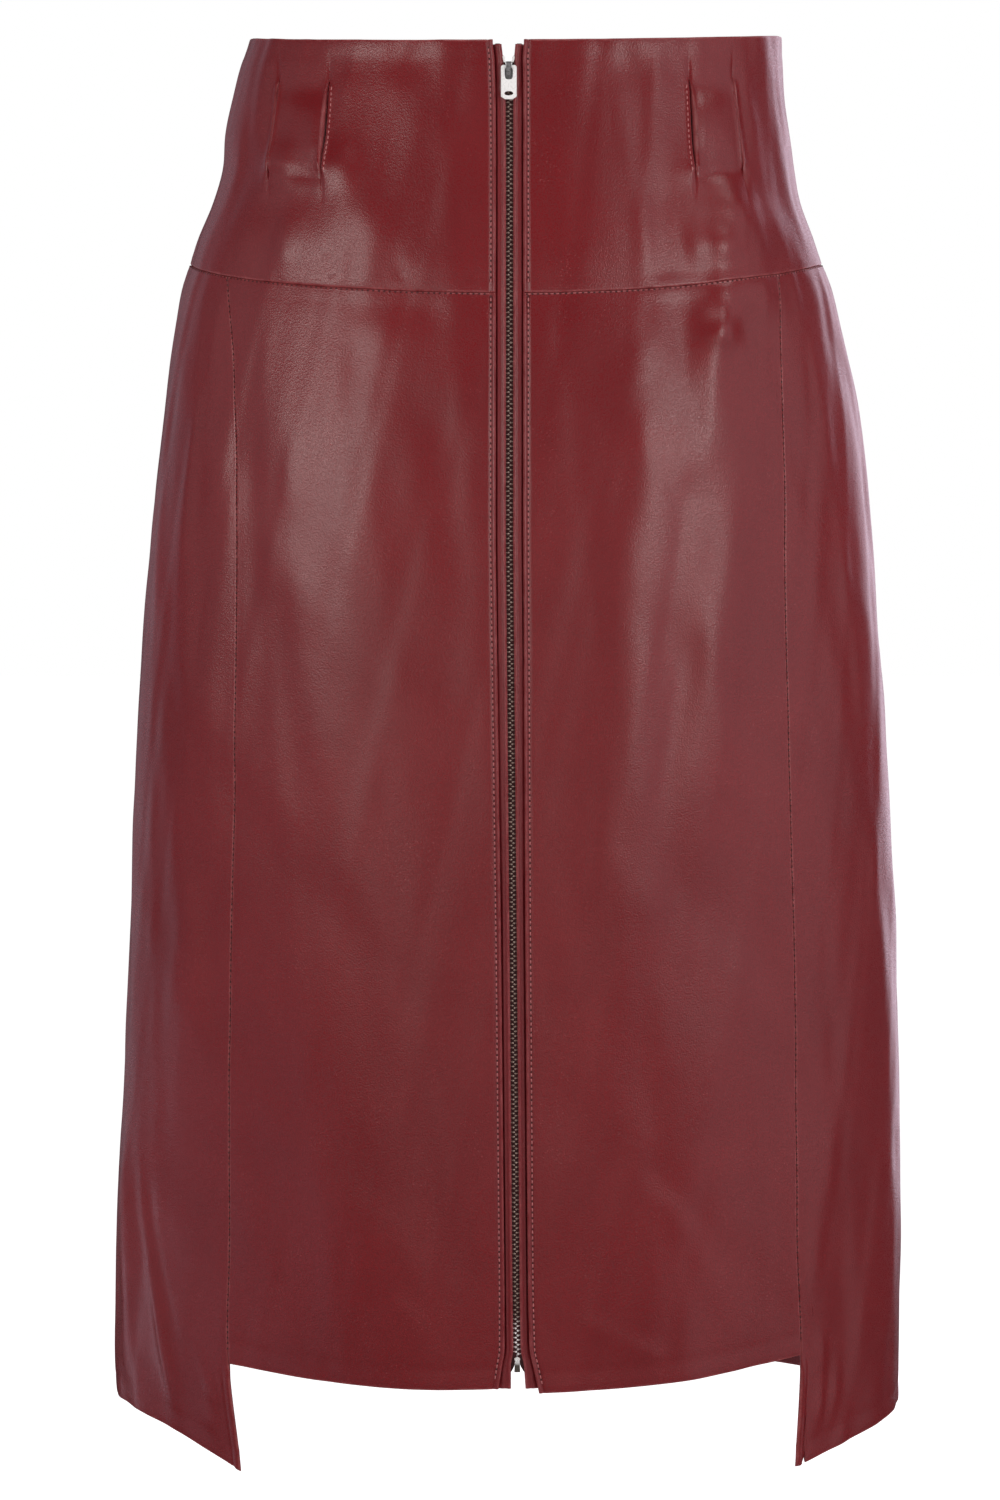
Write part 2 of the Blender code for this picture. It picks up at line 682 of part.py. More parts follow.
def build():
    clear_scene()
    leather = new_material("leather", LEATHER, 0.42)
    facing = new_material("facing_leather", FACING_LEATHER, 0.45)
    nickel = new_material("nickel", NICKEL, 0.22, 1.0)
    dark_metal = new_material("dark_metal", DARK_METAL, 0.35, 1.0)

    for side, word in ((-1, "left"), (1, "right")):
        front_yoke(f"yoke_front_{word}", side, leather)
        lines = [beside(front_seam(side), -side), beside_zip(side, "edge_gap")]
        if side > 0:
            lines.reverse()
        panel(f"front_panel_{word}", lines, [FRONT_COLUMNS], below(yoke_seam), front_hem(side), leather)
        lines = [beside(front_seam(side), side), beside(back_seam(side), -side)]
        if side < 0:
            lines.reverse()
        panel(f"side_panel_{word}", lines, [SIDE_COLUMNS], below(yoke_seam), long_hem, leather)
        zip_facing(f"zip_facing_{word}", side, facing)
        zip_top_stop(f"zip_top_stop_{word}", side, nickel)

    lines = [beside(back_seam(1), 1), round_the_back(beside(back_seam(-1), -1))]
    panel("back_panel", lines, [BACK_COLUMNS], below(yoke_seam), long_hem, leather)
    lines = [beside(side_seam(1), 1), round_the_back(beside(side_seam(-1), -1))]
    columns = [BACK_YOKE_COLUMNS]
    panel("yoke_back", lines, columns, waist_edge, above(yoke_seam), leather, rows=BACK_YOKE_ROWS)
    zip_chain(dark_metal)
    zip_slider(dark_metal)
    zip_pull(nickel)
    zip_end_box(dark_metal)


build()
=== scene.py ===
"""The looks of the leather skirt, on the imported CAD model.

Units are metres, +Z is up and the front faces -Y. The origin is the centre of the waist. Left
is -X and right is +X, as seen from the front. An angle goes round the skirt from centre front:
90 degrees is the right side, 180 the back. Lengths in the rows given to in_mm are millimetres.
"""

import math
from collections import namedtuple

import bpy
import numpy as np
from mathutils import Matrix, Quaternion, Vector


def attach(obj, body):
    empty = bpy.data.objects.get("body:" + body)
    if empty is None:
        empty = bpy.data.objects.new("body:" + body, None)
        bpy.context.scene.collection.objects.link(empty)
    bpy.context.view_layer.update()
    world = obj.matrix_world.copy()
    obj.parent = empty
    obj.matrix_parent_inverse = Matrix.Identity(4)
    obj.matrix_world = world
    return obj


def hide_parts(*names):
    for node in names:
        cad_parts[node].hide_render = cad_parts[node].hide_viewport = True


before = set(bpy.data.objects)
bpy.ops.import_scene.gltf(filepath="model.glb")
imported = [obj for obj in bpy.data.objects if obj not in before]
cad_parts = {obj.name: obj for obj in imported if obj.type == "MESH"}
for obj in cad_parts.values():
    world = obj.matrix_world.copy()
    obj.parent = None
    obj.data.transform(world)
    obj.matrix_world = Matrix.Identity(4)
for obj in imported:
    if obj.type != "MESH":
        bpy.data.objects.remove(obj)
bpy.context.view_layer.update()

BODY = "skirt"
SIDES = ((-1, "left"), (1, "right"))


def in_mm(names, plain, *rows):
    """Rows of named values, lengths from millimetres; plain names the columns with no length."""
    row_kind = namedtuple("Row", names)
    lengths = [name not in plain.split() for name in row_kind._fields]
    return [row_kind(*(value / 1000 if length else value for value, length in zip(row, lengths)))
            for row in rows]


# ---- the skirt's form, as in the CAD

WALL = 0.0015
FACING_OUT = -0.0018
FACING_WALL = 0.0013
FACING_UNDERLAP = 0.008
FACING_BOTTOM = -0.6506

# Half-widths and half-depths. A section is an ellipse where square is 0, squarer where it is
# more, and drawn out to the sides where it is less.
SECTIONS = in_mm(
    "height left right front back square", "square",
    (10, 127.8, 132.7, 96.5, 94, 0.04),
    (-3, 130.1, 133.2, 97, 95, 0.04),
    (-14, 134.2, 133.8, 98, 96.2, 0.04),
    (-30, 138.2, 134.9, 99.7, 99, 0.04),
    (-48, 142.2, 137.8, 102, 103, 0.04),
    (-66, 143.8, 140.2, 104.6, 108, 0.04),
    (-80, 147.9, 142.8, 106.9, 111.8, 0.03),
    (-100, 156, 150.1, 110, 116.8, 0.03),
    (-120, 162.8, 157.8, 113, 121.5, 0.02),
    (-150, 168.8, 165, 117.6, 127.5, 0.02),
    (-190, 174.2, 172.6, 122.8, 133, 0.01),
    (-250, 180.6, 179, 128.2, 137, 0.00),
    (-330, 186.8, 186.1, 132.8, 140, -0.01),
    (-430, 191.2, 191.4, 136.8, 142.8, -0.03),
    (-530, 195.6, 194.8, 140, 145.2, -0.06),
    (-610, 199.9, 195.8, 142, 147.4, -0.10),
    (-670, 200.6, 195.8, 143.2, 149, -0.14),
    (-720, 196, 195.5, 144, 150, -0.16),
)

# Broad folds. Angles in degrees; a fold runs from its top to its bottom and fades at both.
FOLD_RADIUS = 0.16
FOLD_FADE = 0.25
FOLDS = in_mm(
    "top_angle top_height low_angle low_height half_width rise", "top_angle low_angle",
    (-30, -110, -17, -720, 34, 3.8),
    (24, -105, 14, -520, 18, 3),
    (40, -110, 27, -430, 15, 2.4),
    (33, -420, 25, -760, 30, 2.6),
    (-53, -140, -58, -560, 15, 3.2),
    (-80, -520, -62, -780, 13, 3.4),
    (50, -500, 49, -780, 16, 3),
    (72, -200, 76, -720, 22, 2),
    (122, -160, 116, -740, 24, 4.4),
    (158, -120, 165, -640, 32, 4),
    (196, -120, 190, -740, 30, 3.2),
    (222, -300, 214, -760, 20, 3.6),
    (244, -160, 240, -600, 24, 4),
)

# Edges of the pieces, by side. A dip is from the sides down to centre front or centre back.
LEFT_EDGES, RIGHT_EDGES = in_mm(
    "waist yoke yoke_curve front_hem front_rise front_sag hem tip_drop tip_curve",
    "yoke_curve tip_curve",
    (-1.2, -112.5, 1.00, -650.2, 1.3, 1.8, -679.6, 23.4, 1.60),
    (0, -112.2, 1.35, -653, 7.9, -0.8, -683.6, 17.8, 0.76),
)
WAIST_DIP_FRONT = 0.0058
WAIST_DIP_BACK = 0.0098
YOKE_DIP = 0.0147
SIDE_ROUNDING = 0.25
FRONT_HEM_REACH = 0.146  # half-width times the sine of the angle, at the front seams
TIP_SHARE = 0.668
SIDE_SEAM_ANGLE = 93.0
BACK_SEAM_X = 0.135

FRONT_SEAMS = in_mm(
    "height left right", "",
    (-100, 139.5, 128),
    (-120, 138.4, 128.7),
    (-160, 135, 130.2),
    (-320, 133.7, 133.2),
    (-500, 137.4, 137.6),
    (-600, 138.4, 137.6),
    (-645, 139.1, 139.4),
    (-700, 133.3, 137),
)

# Zip: its centre line, and half the gaps between its facings and between the front edges
ZIP = in_mm(
    "height centre facing_gap edge_gap", "",
    (5, -2.1, 3.9, 7.6),
    (-8.7, -2, 3.7, 7.4),
    (-15.4, -1.9, 3, 6.8),
    (-27, -1.6, 3, 6.7),
    (-33.5, -1.5, 2.2, 6.6),
    (-60, -1.4, 2.1, 6.5),
    (-245, -1.5, 2.1, 6.6),
    (-435, 0.3, 2.1, 5.8),
    (-605, 1.8, 2.1, 5.6),
    (-632.5, 2.2, 2.1, 6),
    (-639, 2.4, 3.5, 7.4),
    (-656, 3, 4.1, 10.5),
)

# Belt slits in the front yokes: the strip between them stands out as a belt carrier
SLIT_TOP = 0.172  # share of the yoke's height
SLIT_BOTTOM = 0.560
SLIT_HALF_WIDTH = 0.00018
SLIT_SINK = 0.6  # share of the waist's and the seam's dips that the slits' heights follow
STRIP_RISE = 0.0034
STRIP_GAP = 0.0004  # how far the strip's inner edge draws back from its slit
STRIP_CREST = 0.0034  # from that edge to the crest of the strip's roll
STRIP_OUTER_SHARE = 0.25
SLIT_LEFT, SLIT_RIGHT = in_mm(
    "outer_top outer_bottom inner_top inner_bottom", "",
    (113.6, 116.4, 88.6, 89.6),
    (106.7, 110.8, 85.3, 86.6),
)

# ---- form that the looks add

# Finer creases on the broad form, as (angle in degrees, height) at both ends. A bow bends the
# crease's middle to the right or up; a rise below 0 is a trough.
CREASES = in_mm(
    "angle_1 height_1 angle_2 height_2 bow half_width rise", "angle_1 angle_2",
    # left yoke: under its waist, then below the belt carrier
    (-44, -17, -10, -17, 0, 9, -1),
    (-68, -86, -2, -90, 0, 40, 3),
    (-60, -66, -26, -67, 0, 11, 3.1),
    (-45, -56, -41, -135, 0, 7.5, 1.2),
    (-42, -62, -10, -128, 2, 12, 0.9),
    (-33, -108, -31, -122, 0, 4.5, -0.4),
    (-20, -110, -18, -124, 0, 3, -0.4),
    # right yoke
    (14, -19, 40, -19, 0, 9, -0.6),
    (2, -90, 68, -86, 0, 38, 2.2),
    (31, -68, 46, -68, 0, 7, 1.1),
    (46, -60, 43, -150, 0, 18, 3.5),
    (31, -106, 47, -104, 0, 8.5, 2),
    # left front panel
    (-44, -128, -34, -300, 6, 12, 1.2),
    (-32, -134, -6, -140, 2, 9, -0.9),
    (-22, -150, -20, -330, -6, 11, 0.9),
    (-12, -170, -9, -420, 4, 10, -0.7),
    (-36, -420, -26, -640, 8, 16, 0.9),
    (-20, -600, -12, -642, 3, 5, 0.4),
    # right front panel
    (20, -126, 46, -123, 0, 6, 0.9),
    (39, -121, 35, -162, 0, 9.5, 2.6),
    (38, -112, 28, -228, 0, 10.5, 2.3),
    (18, -180, 12, -470, 0, 12, 1.2),
    (26, -200, 22, -470, 0, 10, -0.8),
    (25, -128, 20, -220, -5, 6, 0.6),
    (12, -180, 8, -470, 6, 12, -0.6),
    (16, -540, 34, -620, 6, 7, 0.6),
    (9, -612, 27, -640, -4, 5, 0.5),
    # side panels, front parts
    (-62, -150, -66, -330, 4, 8, 1),
    (-54, -150, -57, -460, 0, 10, -1.9),
    (-72, -540, -56, -704, 0, 4, 1.4),
    (-68, -560, -53, -694, 0, 4, -0.7),
    (-73, -600, -64, -760, 0, 12, -3),
    (-55, -640, -50, -682, 3, 3.2, 1),
    (-52, -668, -49, -694, -2, 2.6, 0.8),
    (53, -630, 52, -692, 3, 3, 1.2),
    (58, -640, 54, -694, 4, 4, 0.8),
    (86, -130, 84, -300, 5, 9, 1),
    (80, -330, 84, -500, -4, 10, 0.8),
    # side and back, hidden from the front
    (100, -180, 104, -420, 6, 9, 1.2),
    (132, -300, 128, -600, 8, 10, 1),
    (146, -140, 150, -330, -6, 9, 1.3),
    (150, -130, 166, -148, 3, 6, -0.9),
    (172, -140, 176, -380, 6, 11, 1.1),
    (184, -130, 200, -170, 5, 7, -1),
    (206, -150, 202, -400, -6, 9, 1.2),
    (180, -420, 186, -660, 8, 13, 1),
    (228, -200, 226, -470, 6, 9, -0.9),
    (256, -180, 252, -420, -5, 9, 1.2),
    (262, -500, 250, -660, 6, 7, 1.3),
    (110, -560, 122, -670, 5, 7, 1.2),
    (152, -600, 160, -676, -4, 6, 0.9),
    (140, -60, 220, -64, 4, 10, 1),
    (150, -90, 205, -84, -3, 8, -0.8),
    (112, -50, 128, -100, 3, 7, 0.8),
    (236, -48, 250, -98, -3, 7, 0.8),
)
CREASE_FADE = 0.35
CREASE_UNEVEN = 0.35  # how much a crease's rise comes and goes along it
CREASE_TURNS = 11  # radians of that coming and going along a whole crease
CREASE_SHIFT = 2.4  # radians by which it is shifted from each crease to the next
WAVE_BEND = 1.3  # radians by which a wave is bent out of its even beat
ZIP_STILL = 0.075  # angle in radians round the zip, within which its tape keeps the skin flat

# Slow unevenness of the whole skin: waves of a few centimetres, each by its own direction
WAVES = in_mm(
    "round_count down_length phase rise", "round_count phase",
    (17, 210, 0.4, 0.22),
    (-23, 160, 1.9, 0.18),
    (31, 330, 3.1, 0.13),
    (-41, 120, 5.2, 0.10),
    (11, 90, 2.3, 0.16),
)

TOUCH = 0.00002  # half the gap between two pieces
HEM_TURN = 0.025  # how far the hem is turned up inside
WAIST_FACING_LOW = -0.035  # the waist is faced with leather inside, down to this height
STITCH_PITCH = 0.0027
SLIT_STITCH_IN = 0.0015  # from a belt slit to its row of stitches
TAPE_OUT = -0.0033
TAPE_HALF_WIDTH = 0.0064
TAPE_WALL = 0.0004
TOOTH_PITCH = 0.00225
CHAIN_TOP = -0.0266
CHAIN_END = -0.6350


def through(table, column, height):
    """Values of a smooth curve through one column of a table, at the given heights."""
    rows = sorted(table)
    heights = np.array([row.height for row in rows])
    values = np.array([getattr(row, column) for row in rows])
    slopes = np.gradient(values, heights)
    height = np.clip(height, heights[0], heights[-1])
    low = np.clip(np.searchsorted(heights, height) - 1, 0, len(rows) - 2)
    span = heights[low + 1] - heights[low]
    t = (height - heights[low]) / span
    start = (1 + 2 * t) * (1 - t) ** 2 * values[low]
    end = t**2 * (3 - 2 * t) * values[low + 1]
    lean = span * t * (1 - t) * ((1 - t) * slopes[low] - t * slopes[low + 1])
    return start + end + lean


def along(table, column, height):
    """The same, in straight lines from row to row."""
    rows = sorted(table)
    return np.interp(height, [row.height for row in rows], [getattr(row, column) for row in rows])


def mix(a, b, t):
    return a + (b - a) * t


def ease(t):
    t = np.clip(t, 0, 1)
    return t * t * (3 - 2 * t)


def hump(distance, half_width):
    """A soft rise of 1 at distance 0."""
    return np.exp(-((distance / half_width) ** 2))


def unit(vectors):
    return vectors / np.linalg.norm(vectors, axis=-1, keepdims=True)


def turn_between(angle, centre):
    return (angle - centre + math.pi) % (2 * math.pi) - math.pi


def fold_rise(angle, height):
    total = np.zeros(np.broadcast(angle, height).shape)
    for fold in FOLDS:
        down = (fold.top_height - height) / (fold.top_height - fold.low_height)
        centre = np.radians(mix(fold.top_angle, fold.low_angle, down))
        fade = ease(down / FOLD_FADE) * ease((1 - down) / FOLD_FADE)
        across = turn_between(angle, centre) * FOLD_RADIUS
        total = total + fold.rise * fade * hump(across, fold.half_width)
    return total


SECTION_COLUMNS = SECTIONS[0]._fields[1:]


def surface(angle, height):
    """Points on the CAD's outer surface."""
    sine, cosine = np.sin(angle), np.cos(angle)
    left, right, front, back, square = (through(SECTIONS, name, height) for name in SECTION_COLUMNS)
    half_width = np.where(sine < 0, left, right)
    half_depth = np.where(cosine > 0, front, back)
    x = half_width * sine * (1 + square * cosine**2)
    y = -half_depth * cosine * (1 + square * sine**2)
    out_x, out_y = sine * half_depth, -cosine * half_width
    rise = fold_rise(angle, height) / np.hypot(out_x, out_y)
    return np.stack([x + rise * out_x, y + rise * out_y, height + 0 * x], axis=-1)


STEP = 0.0005  # in radians, and in metres down, to either side of where a slope is measured


def outward(angle, height):
    """Unit normals of the surface."""
    across = surface(angle + STEP, height) - surface(angle - STEP, height)
    up = surface(angle, height + STEP) - surface(angle, height - STEP)
    return unit(np.cross(across, up))


def crease_rise(angle, height):
    """How far the creases and the slow unevenness stand out."""
    total = np.zeros(np.broadcast(angle, height).shape)
    for number, crease in enumerate(CREASES):
        start_angle = math.radians(crease.angle_1)
        long_round = math.radians(crease.angle_2 - crease.angle_1) * FOLD_RADIUS
        long_down = crease.height_2 - crease.height_1
        long = math.hypot(long_round, long_down)
        x = turn_between(angle, start_angle) * FOLD_RADIUS
        y = height - crease.height_1
        share = (x * long_round + y * long_down) / long**2
        across = (y * long_round - x * long_down) / long - crease.bow * np.sin(math.pi * share)
        fade = ease(share / CREASE_FADE) * ease((1 - share) / CREASE_FADE)
        uneven = 1 + CREASE_UNEVEN * np.sin(CREASE_TURNS * share + CREASE_SHIFT * number)
        total = total + crease.rise * uneven * fade * hump(across, crease.half_width)
    for wave in WAVES:
        turn = wave.round_count * angle + 2 * math.pi * height / wave.down_length + wave.phase
        bend = WAVE_BEND * np.sin(2 * turn / 3 + wave.phase)
        total = total + wave.rise * np.sin(turn + bend)
    return total * (1 - hump(turn_between(angle, 0.0), ZIP_STILL))


HALVINGS = 40  # of the range in which angle_at looks for its angle


def angle_at(x, height):
    """The front angle whose point on the surface lies at x."""
    left, right = through(SECTIONS, "left", height), through(SECTIONS, "right", height)
    half_width = np.where(x < 0, left, right)
    share = np.abs(x) / half_width
    square = through(SECTIONS, "square", height)
    low, high = np.zeros_like(share), np.full_like(share, math.pi / 2)
    for _ in range(HALVINGS):
        middle = (low + high) / 2
        inside = np.sin(middle) * (1 + square * np.cos(middle) ** 2) < share
        low, high = np.where(inside, middle, low), np.where(inside, high, middle)
    return np.sign(x) * (low + high) / 2


# ---- lines on the skirt

TABLE_HEIGHTS = np.linspace(-0.73, 0.01, 1481)  # every half millimetre


def tabled(line):
    """A line down the skirt, worked out once and then read from its table."""
    angles = line(TABLE_HEIGHTS)
    return lambda height: np.interp(height, TABLE_HEIGHTS, angles)


def moved(line, metres):
    """A line down the skirt, moved round it by a distance; plus is to the right."""
    angles = line(TABLE_HEIGHTS)
    span = surface(angles + STEP, TABLE_HEIGHTS) - surface(angles - STEP, TABLE_HEIGHTS)
    return tabled(lambda _: angles + metres * 2 * STEP / np.linalg.norm(span, axis=-1))


def line_at(place):
    """A line down the front, from its place across at each height."""
    return tabled(lambda height: angle_at(place(height), height))


def front_seam(side):
    column = "right" if side > 0 else "left"
    return line_at(lambda height: side * through(FRONT_SEAMS, column, height))


def back_seam(side):
    mirrored = line_at(lambda height: side * BACK_SEAM_X + 0 * height)
    return lambda height: side * math.pi - mirrored(height)


def side_seam(side):
    return lambda height: side * math.radians(SIDE_SEAM_ANGLE) + 0 * height


def beside_zip(side, gap, rows=ZIP):
    """A line beside the zip's centre, at half of a gap that is a column of the rows."""
    return line_at(lambda height: along(ZIP, "centre", height) + side * along(rows, gap, height))


def zip_line(aside):
    return line_at(lambda height: along(ZIP, "centre", height) + aside)


def slit_line(side, outer, shift, pull=0.0):
    """A belt slit's edge; shift is towards the side of the skirt, pull adds to it half-way down."""
    slit, edges = (SLIT_RIGHT, RIGHT_EDGES) if side > 0 else (SLIT_LEFT, LEFT_EDGES)
    top, bottom = slit[:2] if outer else slit[2:]
    upper = edges.waist - SLIT_SINK * WAIST_DIP_FRONT
    lower = edges.yoke - SLIT_SINK * YOKE_DIP

    def place(height):
        share = (upper - height) / (upper - lower)
        down = np.clip((share - SLIT_TOP) / (SLIT_BOTTOM - SLIT_TOP), 0, 1)
        return side * (mix(top, bottom, down) + shift + pull * np.sin(math.pi * down))

    return line_at(place)


def sink(angle):
    """How far round towards the centre an angle is: 0 at the sides, 1 at centre front and back."""
    rounded = np.sqrt(np.cos(angle) ** 2 + SIDE_ROUNDING**2) - SIDE_ROUNDING
    return rounded / (math.sqrt(1 + SIDE_ROUNDING**2) - SIDE_ROUNDING)


def by_side(edge, angle):
    left, right = getattr(LEFT_EDGES, edge), getattr(RIGHT_EDGES, edge)
    return mix(left, right, ease((1 + np.sin(angle)) / 2))


def waist_edge(angle):
    dip = np.where(np.cos(angle) > 0, WAIST_DIP_FRONT, WAIST_DIP_BACK)
    return by_side("waist", angle) - dip * sink(angle)


def yoke_seam(angle):
    return by_side("yoke", angle) - YOKE_DIP * sink(angle) ** by_side("yoke_curve", angle)


def front_hem(side):
    edges = RIGHT_EDGES if side > 0 else LEFT_EDGES
    half_width = through(SECTIONS, "left", np.array(edges.front_hem))

    def line(angle):
        share = half_width * np.abs(np.sin(angle)) / FRONT_HEM_REACH
        sag = edges.front_sag * np.sin(math.pi * share)
        return edges.front_hem + edges.front_rise * share**3 - sag

    return line


def long_hem(angle):
    """The hem of the side and back panels, which drops to a corner at each front seam."""
    sine, cosine = np.sin(angle), np.cos(angle)
    square = through(SECTIONS, "square", np.array(LEFT_EDGES.hem))
    reach = np.abs(sine) * (1 + square * cosine**2)
    share = np.clip((1 - reach) / (1 - TIP_SHARE), 0, None)
    drop = by_side("tip_drop", angle) * share ** by_side("tip_curve", angle)
    return by_side("hem", angle) - np.where(cosine > 0, drop, 0)


def level(height):
    return lambda angle: height + 0 * angle


def lowered(line, metres):
    return lambda angle: line(angle) - metres


# ---- grids and meshes

# Fine lines beside an edge, in metres in from it
ROLL_STEPS = (0.00005, 0.00019, 0.00038, 0.00062)
SEAM_STEPS = (*ROLL_STEPS, 0.0013, 0.0022, 0.0036)
SLIT_STEPS = (*ROLL_STEPS, 0.0012, 0.0020)
ZIP_STEPS = (*ROLL_STEPS, 0.0010, 0.0015, 0.0020, 0.0024, 0.0029, 0.0036, 0.0048)
HEM_STEPS = (*ROLL_STEPS, 0.0014, 0.0026, 0.0042, 0.0060, 0.0080, 0.0100, 0.0120)
GRID_ROUNDS = 12  # repeats that settle where the lines down and the lines round cross

SHARP_FROM = 50  # degrees
Cells = namedtuple("Cells", "angle height left right top bottom")


def inset(line, steps, sign):
    """The fine lines beside an edge, from the edge inwards; sign is the side the cloth is on."""
    return [line] + [moved(line, sign * step) for step in steps]


def between(curves, places, at):
    """Curves that cross a grid, read at places between them."""
    values = np.stack([curve(at) for curve in curves])
    places = np.broadcast_to(places, at.shape)
    low = np.clip(np.floor(places).astype(int), 0, len(curves) - 2)
    first = np.take_along_axis(values, low[None], 0)[0]
    second = np.take_along_axis(values, low[None] + 1, 0)[0]
    return mix(first, second, places - low)


def spread(counts):
    """Places along a grid, from the number of steps in each stretch between its lines."""
    places = [0.0]
    for stretch, count in enumerate(counts):
        places += [stretch + (step + 1) / count for step in range(count)]
    return np.array(places)


def grid(lines, columns, rounds, rows):
    """The points where lines down and lines round cross, with distances in from each edge."""
    across, down = spread(columns)[None, :], spread(rows)[:, None]
    height = mix(LEFT_EDGES.waist, LEFT_EDGES.hem, down / down.max()) + 0 * across
    for _ in range(GRID_ROUNDS):
        angle = between(lines, across, height)
        height = between(rounds, down, angle)
    points = surface(angle, height)
    steps = np.linalg.norm(np.diff(points, axis=1), axis=-1)
    left = np.pad(np.cumsum(steps, axis=1), ((0, 0), (1, 0)))
    steps = np.linalg.norm(np.diff(points, axis=0), axis=-1)
    top = np.pad(np.cumsum(steps, axis=0), ((1, 0), (0, 0)))
    return Cells(angle, height, left, left[:, -1:] - left, top, top[-1:] - top)


def new_object(name, data):
    thing = bpy.data.objects.new(name, data)
    bpy.context.scene.collection.objects.link(thing)
    return thing


def object_from(name, points, faces, materials, slots=None):
    """A smooth-shaded mesh object that rides on the skirt."""
    mesh = bpy.data.meshes.new(name)
    mesh.from_pydata(points.reshape(-1, 3).tolist(), [], faces)
    for material in materials:
        mesh.materials.append(material)
    if slots is not None:
        mesh.polygons.foreach_set("material_index", slots)
    mesh.shade_smooth()
    mesh.set_sharp_from_angle(angle=math.radians(SHARP_FROM))
    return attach(new_object(name, mesh), BODY)


# How an edge is finished: the radii of its outer and inner corner, a groove and a ridge
SEAM, YOKE_SEAM, ZIP_EDGE, HEM, WAIST, SLIT, TURNED, TUBE, FACING_EDGE, FACING_END, CUT = in_mm(
    "outer_roll inner_roll dip dip_at dip_width ridge ridge_at ridge_width", "",
    (0.85, 0, 0.12, 1.6, 1.2, 0, 1, 1),  # SEAM
    (0.85, 0, 0.75, 0, 8.5, 0.12, 3.6, 1.6),  # YOKE_SEAM
    (0.70, 0.50, 0.60, 2.4, 0.6, 0.60, 0.8, 0.5),  # ZIP_EDGE
    (0.66, 0.66, 0.15, 10, 1.6, 0.12, 3, 3),  # HEM
    (0.66, 0.66, 0.10, 9, 1.6, 0.10, 2.5, 2),  # WAIST
    (0.66, 0.66, 0.25, 2.6, 0.8, 0.65, 1.2, 0.8),  # SLIT
    (0.66, 0.66, 0.40, 4.6, 0.9, 0.55, 2.2, 1.6),  # TURNED
    (0.66, 0.66, 0.90, 4.7, 0.7, 1.10, 2.2, 1.5),  # TUBE
    (0.85, 0.40, 0.25, 2.6, 0.6, 0.55, 1, 0.6),  # FACING_EDGE
    (0.58, 0.58, 0, 1, 1, 0, 1, 1),  # FACING_END
    (0, 0, 0, 1, 1, 0, 1, 1),  # CUT
)
ZIP_STITCH_IN = ZIP_EDGE.dip_at  # from a front edge to its row of stitches
WEAR_REACH = 0.0012


def corner_fall(distance, radius):
    """How far a round corner falls back at a distance in from an edge."""
    rest = radius - np.clip(distance, 0, radius)
    return radius - np.sqrt(np.maximum(radius**2 - rest**2, 0))


def leather_shell(name, cells, edges, form=0.0, out=0.0, wall=WALL, hole_shades=()):
    """A thin shell over a grid, as one sheet of cloth.

    edges lists (distance, finish) for each edge, and a share where not all of the finish is
    there; form stands the whole shell out, and out is its place from the CAD surface.
    """
    shape = cells.angle.shape
    middle = out + form + crease_rise(cells.angle, cells.height)
    outer_fall, inner_fall, wear = np.zeros(shape), np.zeros(shape), np.zeros(shape)
    for distance, finish, *part in edges:
        share = part[0] if part else 1.0
        middle = middle + share * finish.ridge * hump(distance - finish.ridge_at, finish.ridge_width)
        middle = middle - share * finish.dip * hump(distance - finish.dip_at, finish.dip_width)
        outer_fall = np.maximum(outer_fall, share * corner_fall(distance, finish.outer_roll))
        inner_fall = np.maximum(inner_fall, share * corner_fall(distance, finish.inner_roll))
        if finish is not CUT:
            wear = np.maximum(wear, share * hump(distance, WEAR_REACH))
    base, normals = surface(cells.angle, cells.height), outward(cells.angle, cells.height)
    outer, inner = middle - outer_fall, middle - wall + inner_fall
    layers = np.stack([base + outer[..., None] * normals, base + inner[..., None] * normals])

    rows, columns = shape
    size = rows * columns
    number = np.arange(size).reshape(shape)
    kept = np.ones((rows - 1, columns - 1), bool)
    for row, column in hole_shades:
        kept[row, column] = False
    corners = (number[:-1, :-1], number[1:, :-1], number[1:, 1:], number[:-1, 1:])
    front = np.stack([corner[kept] for corner in corners], axis=1)
    first, second = front.ravel(), np.roll(front, -1, axis=1).ravel()
    on_rim = ~np.isin(first * size + second, second * size + first)
    first, second = first[on_rim], second[on_rim]
    rim = np.stack([second, first, first + size, second + size], axis=1)
    faces = np.concatenate([front, front[:, ::-1] + size, rim]).tolist()
    turned = (cells.bottom[:-1, :-1] < HEM_TURN) | (cells.height[:-1, :-1] > WAIST_FACING_LOW)
    inside = np.where(turned[kept], 0, 1)
    slots = np.concatenate([np.zeros(len(front)), inside, np.zeros(len(rim))]).astype(np.int32)
    thing = object_from(name, layers, faces, SKIN_MATERIALS, slots)
    mark = thing.data.attributes.new("wear", "FLOAT", "POINT")
    mark.data.foreach_set("value", np.tile(wear.ravel(), 2).astype(np.float32))
    return thing


def stands_for(piece, node):
    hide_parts(node)


def skin(angle, height, out):
    """Points of the creased surface, moved out, and the normals there."""
    normals = outward(angle, height)
    out = out + crease_rise(angle, height)
    return surface(angle, height) + out[..., None] * normals, normals


def walk(path, normals, pitch, offset):
    """Points at even steps along a path, with the path's direction and its normal at each."""
    steps = np.linalg.norm(np.diff(path, axis=0), axis=1)
    run = np.concatenate([[0.0], np.cumsum(steps)])
    at = (np.arange(int(run[-1] / pitch)) + offset) * pitch

    def read(values, shift=0.0):
        return np.stack([np.interp(at + shift, run, values[:, axis]) for axis in range(3)], axis=1)

    return read(path), unit(read(path, pitch / 4) - read(path, -pitch / 4)), read(normals)


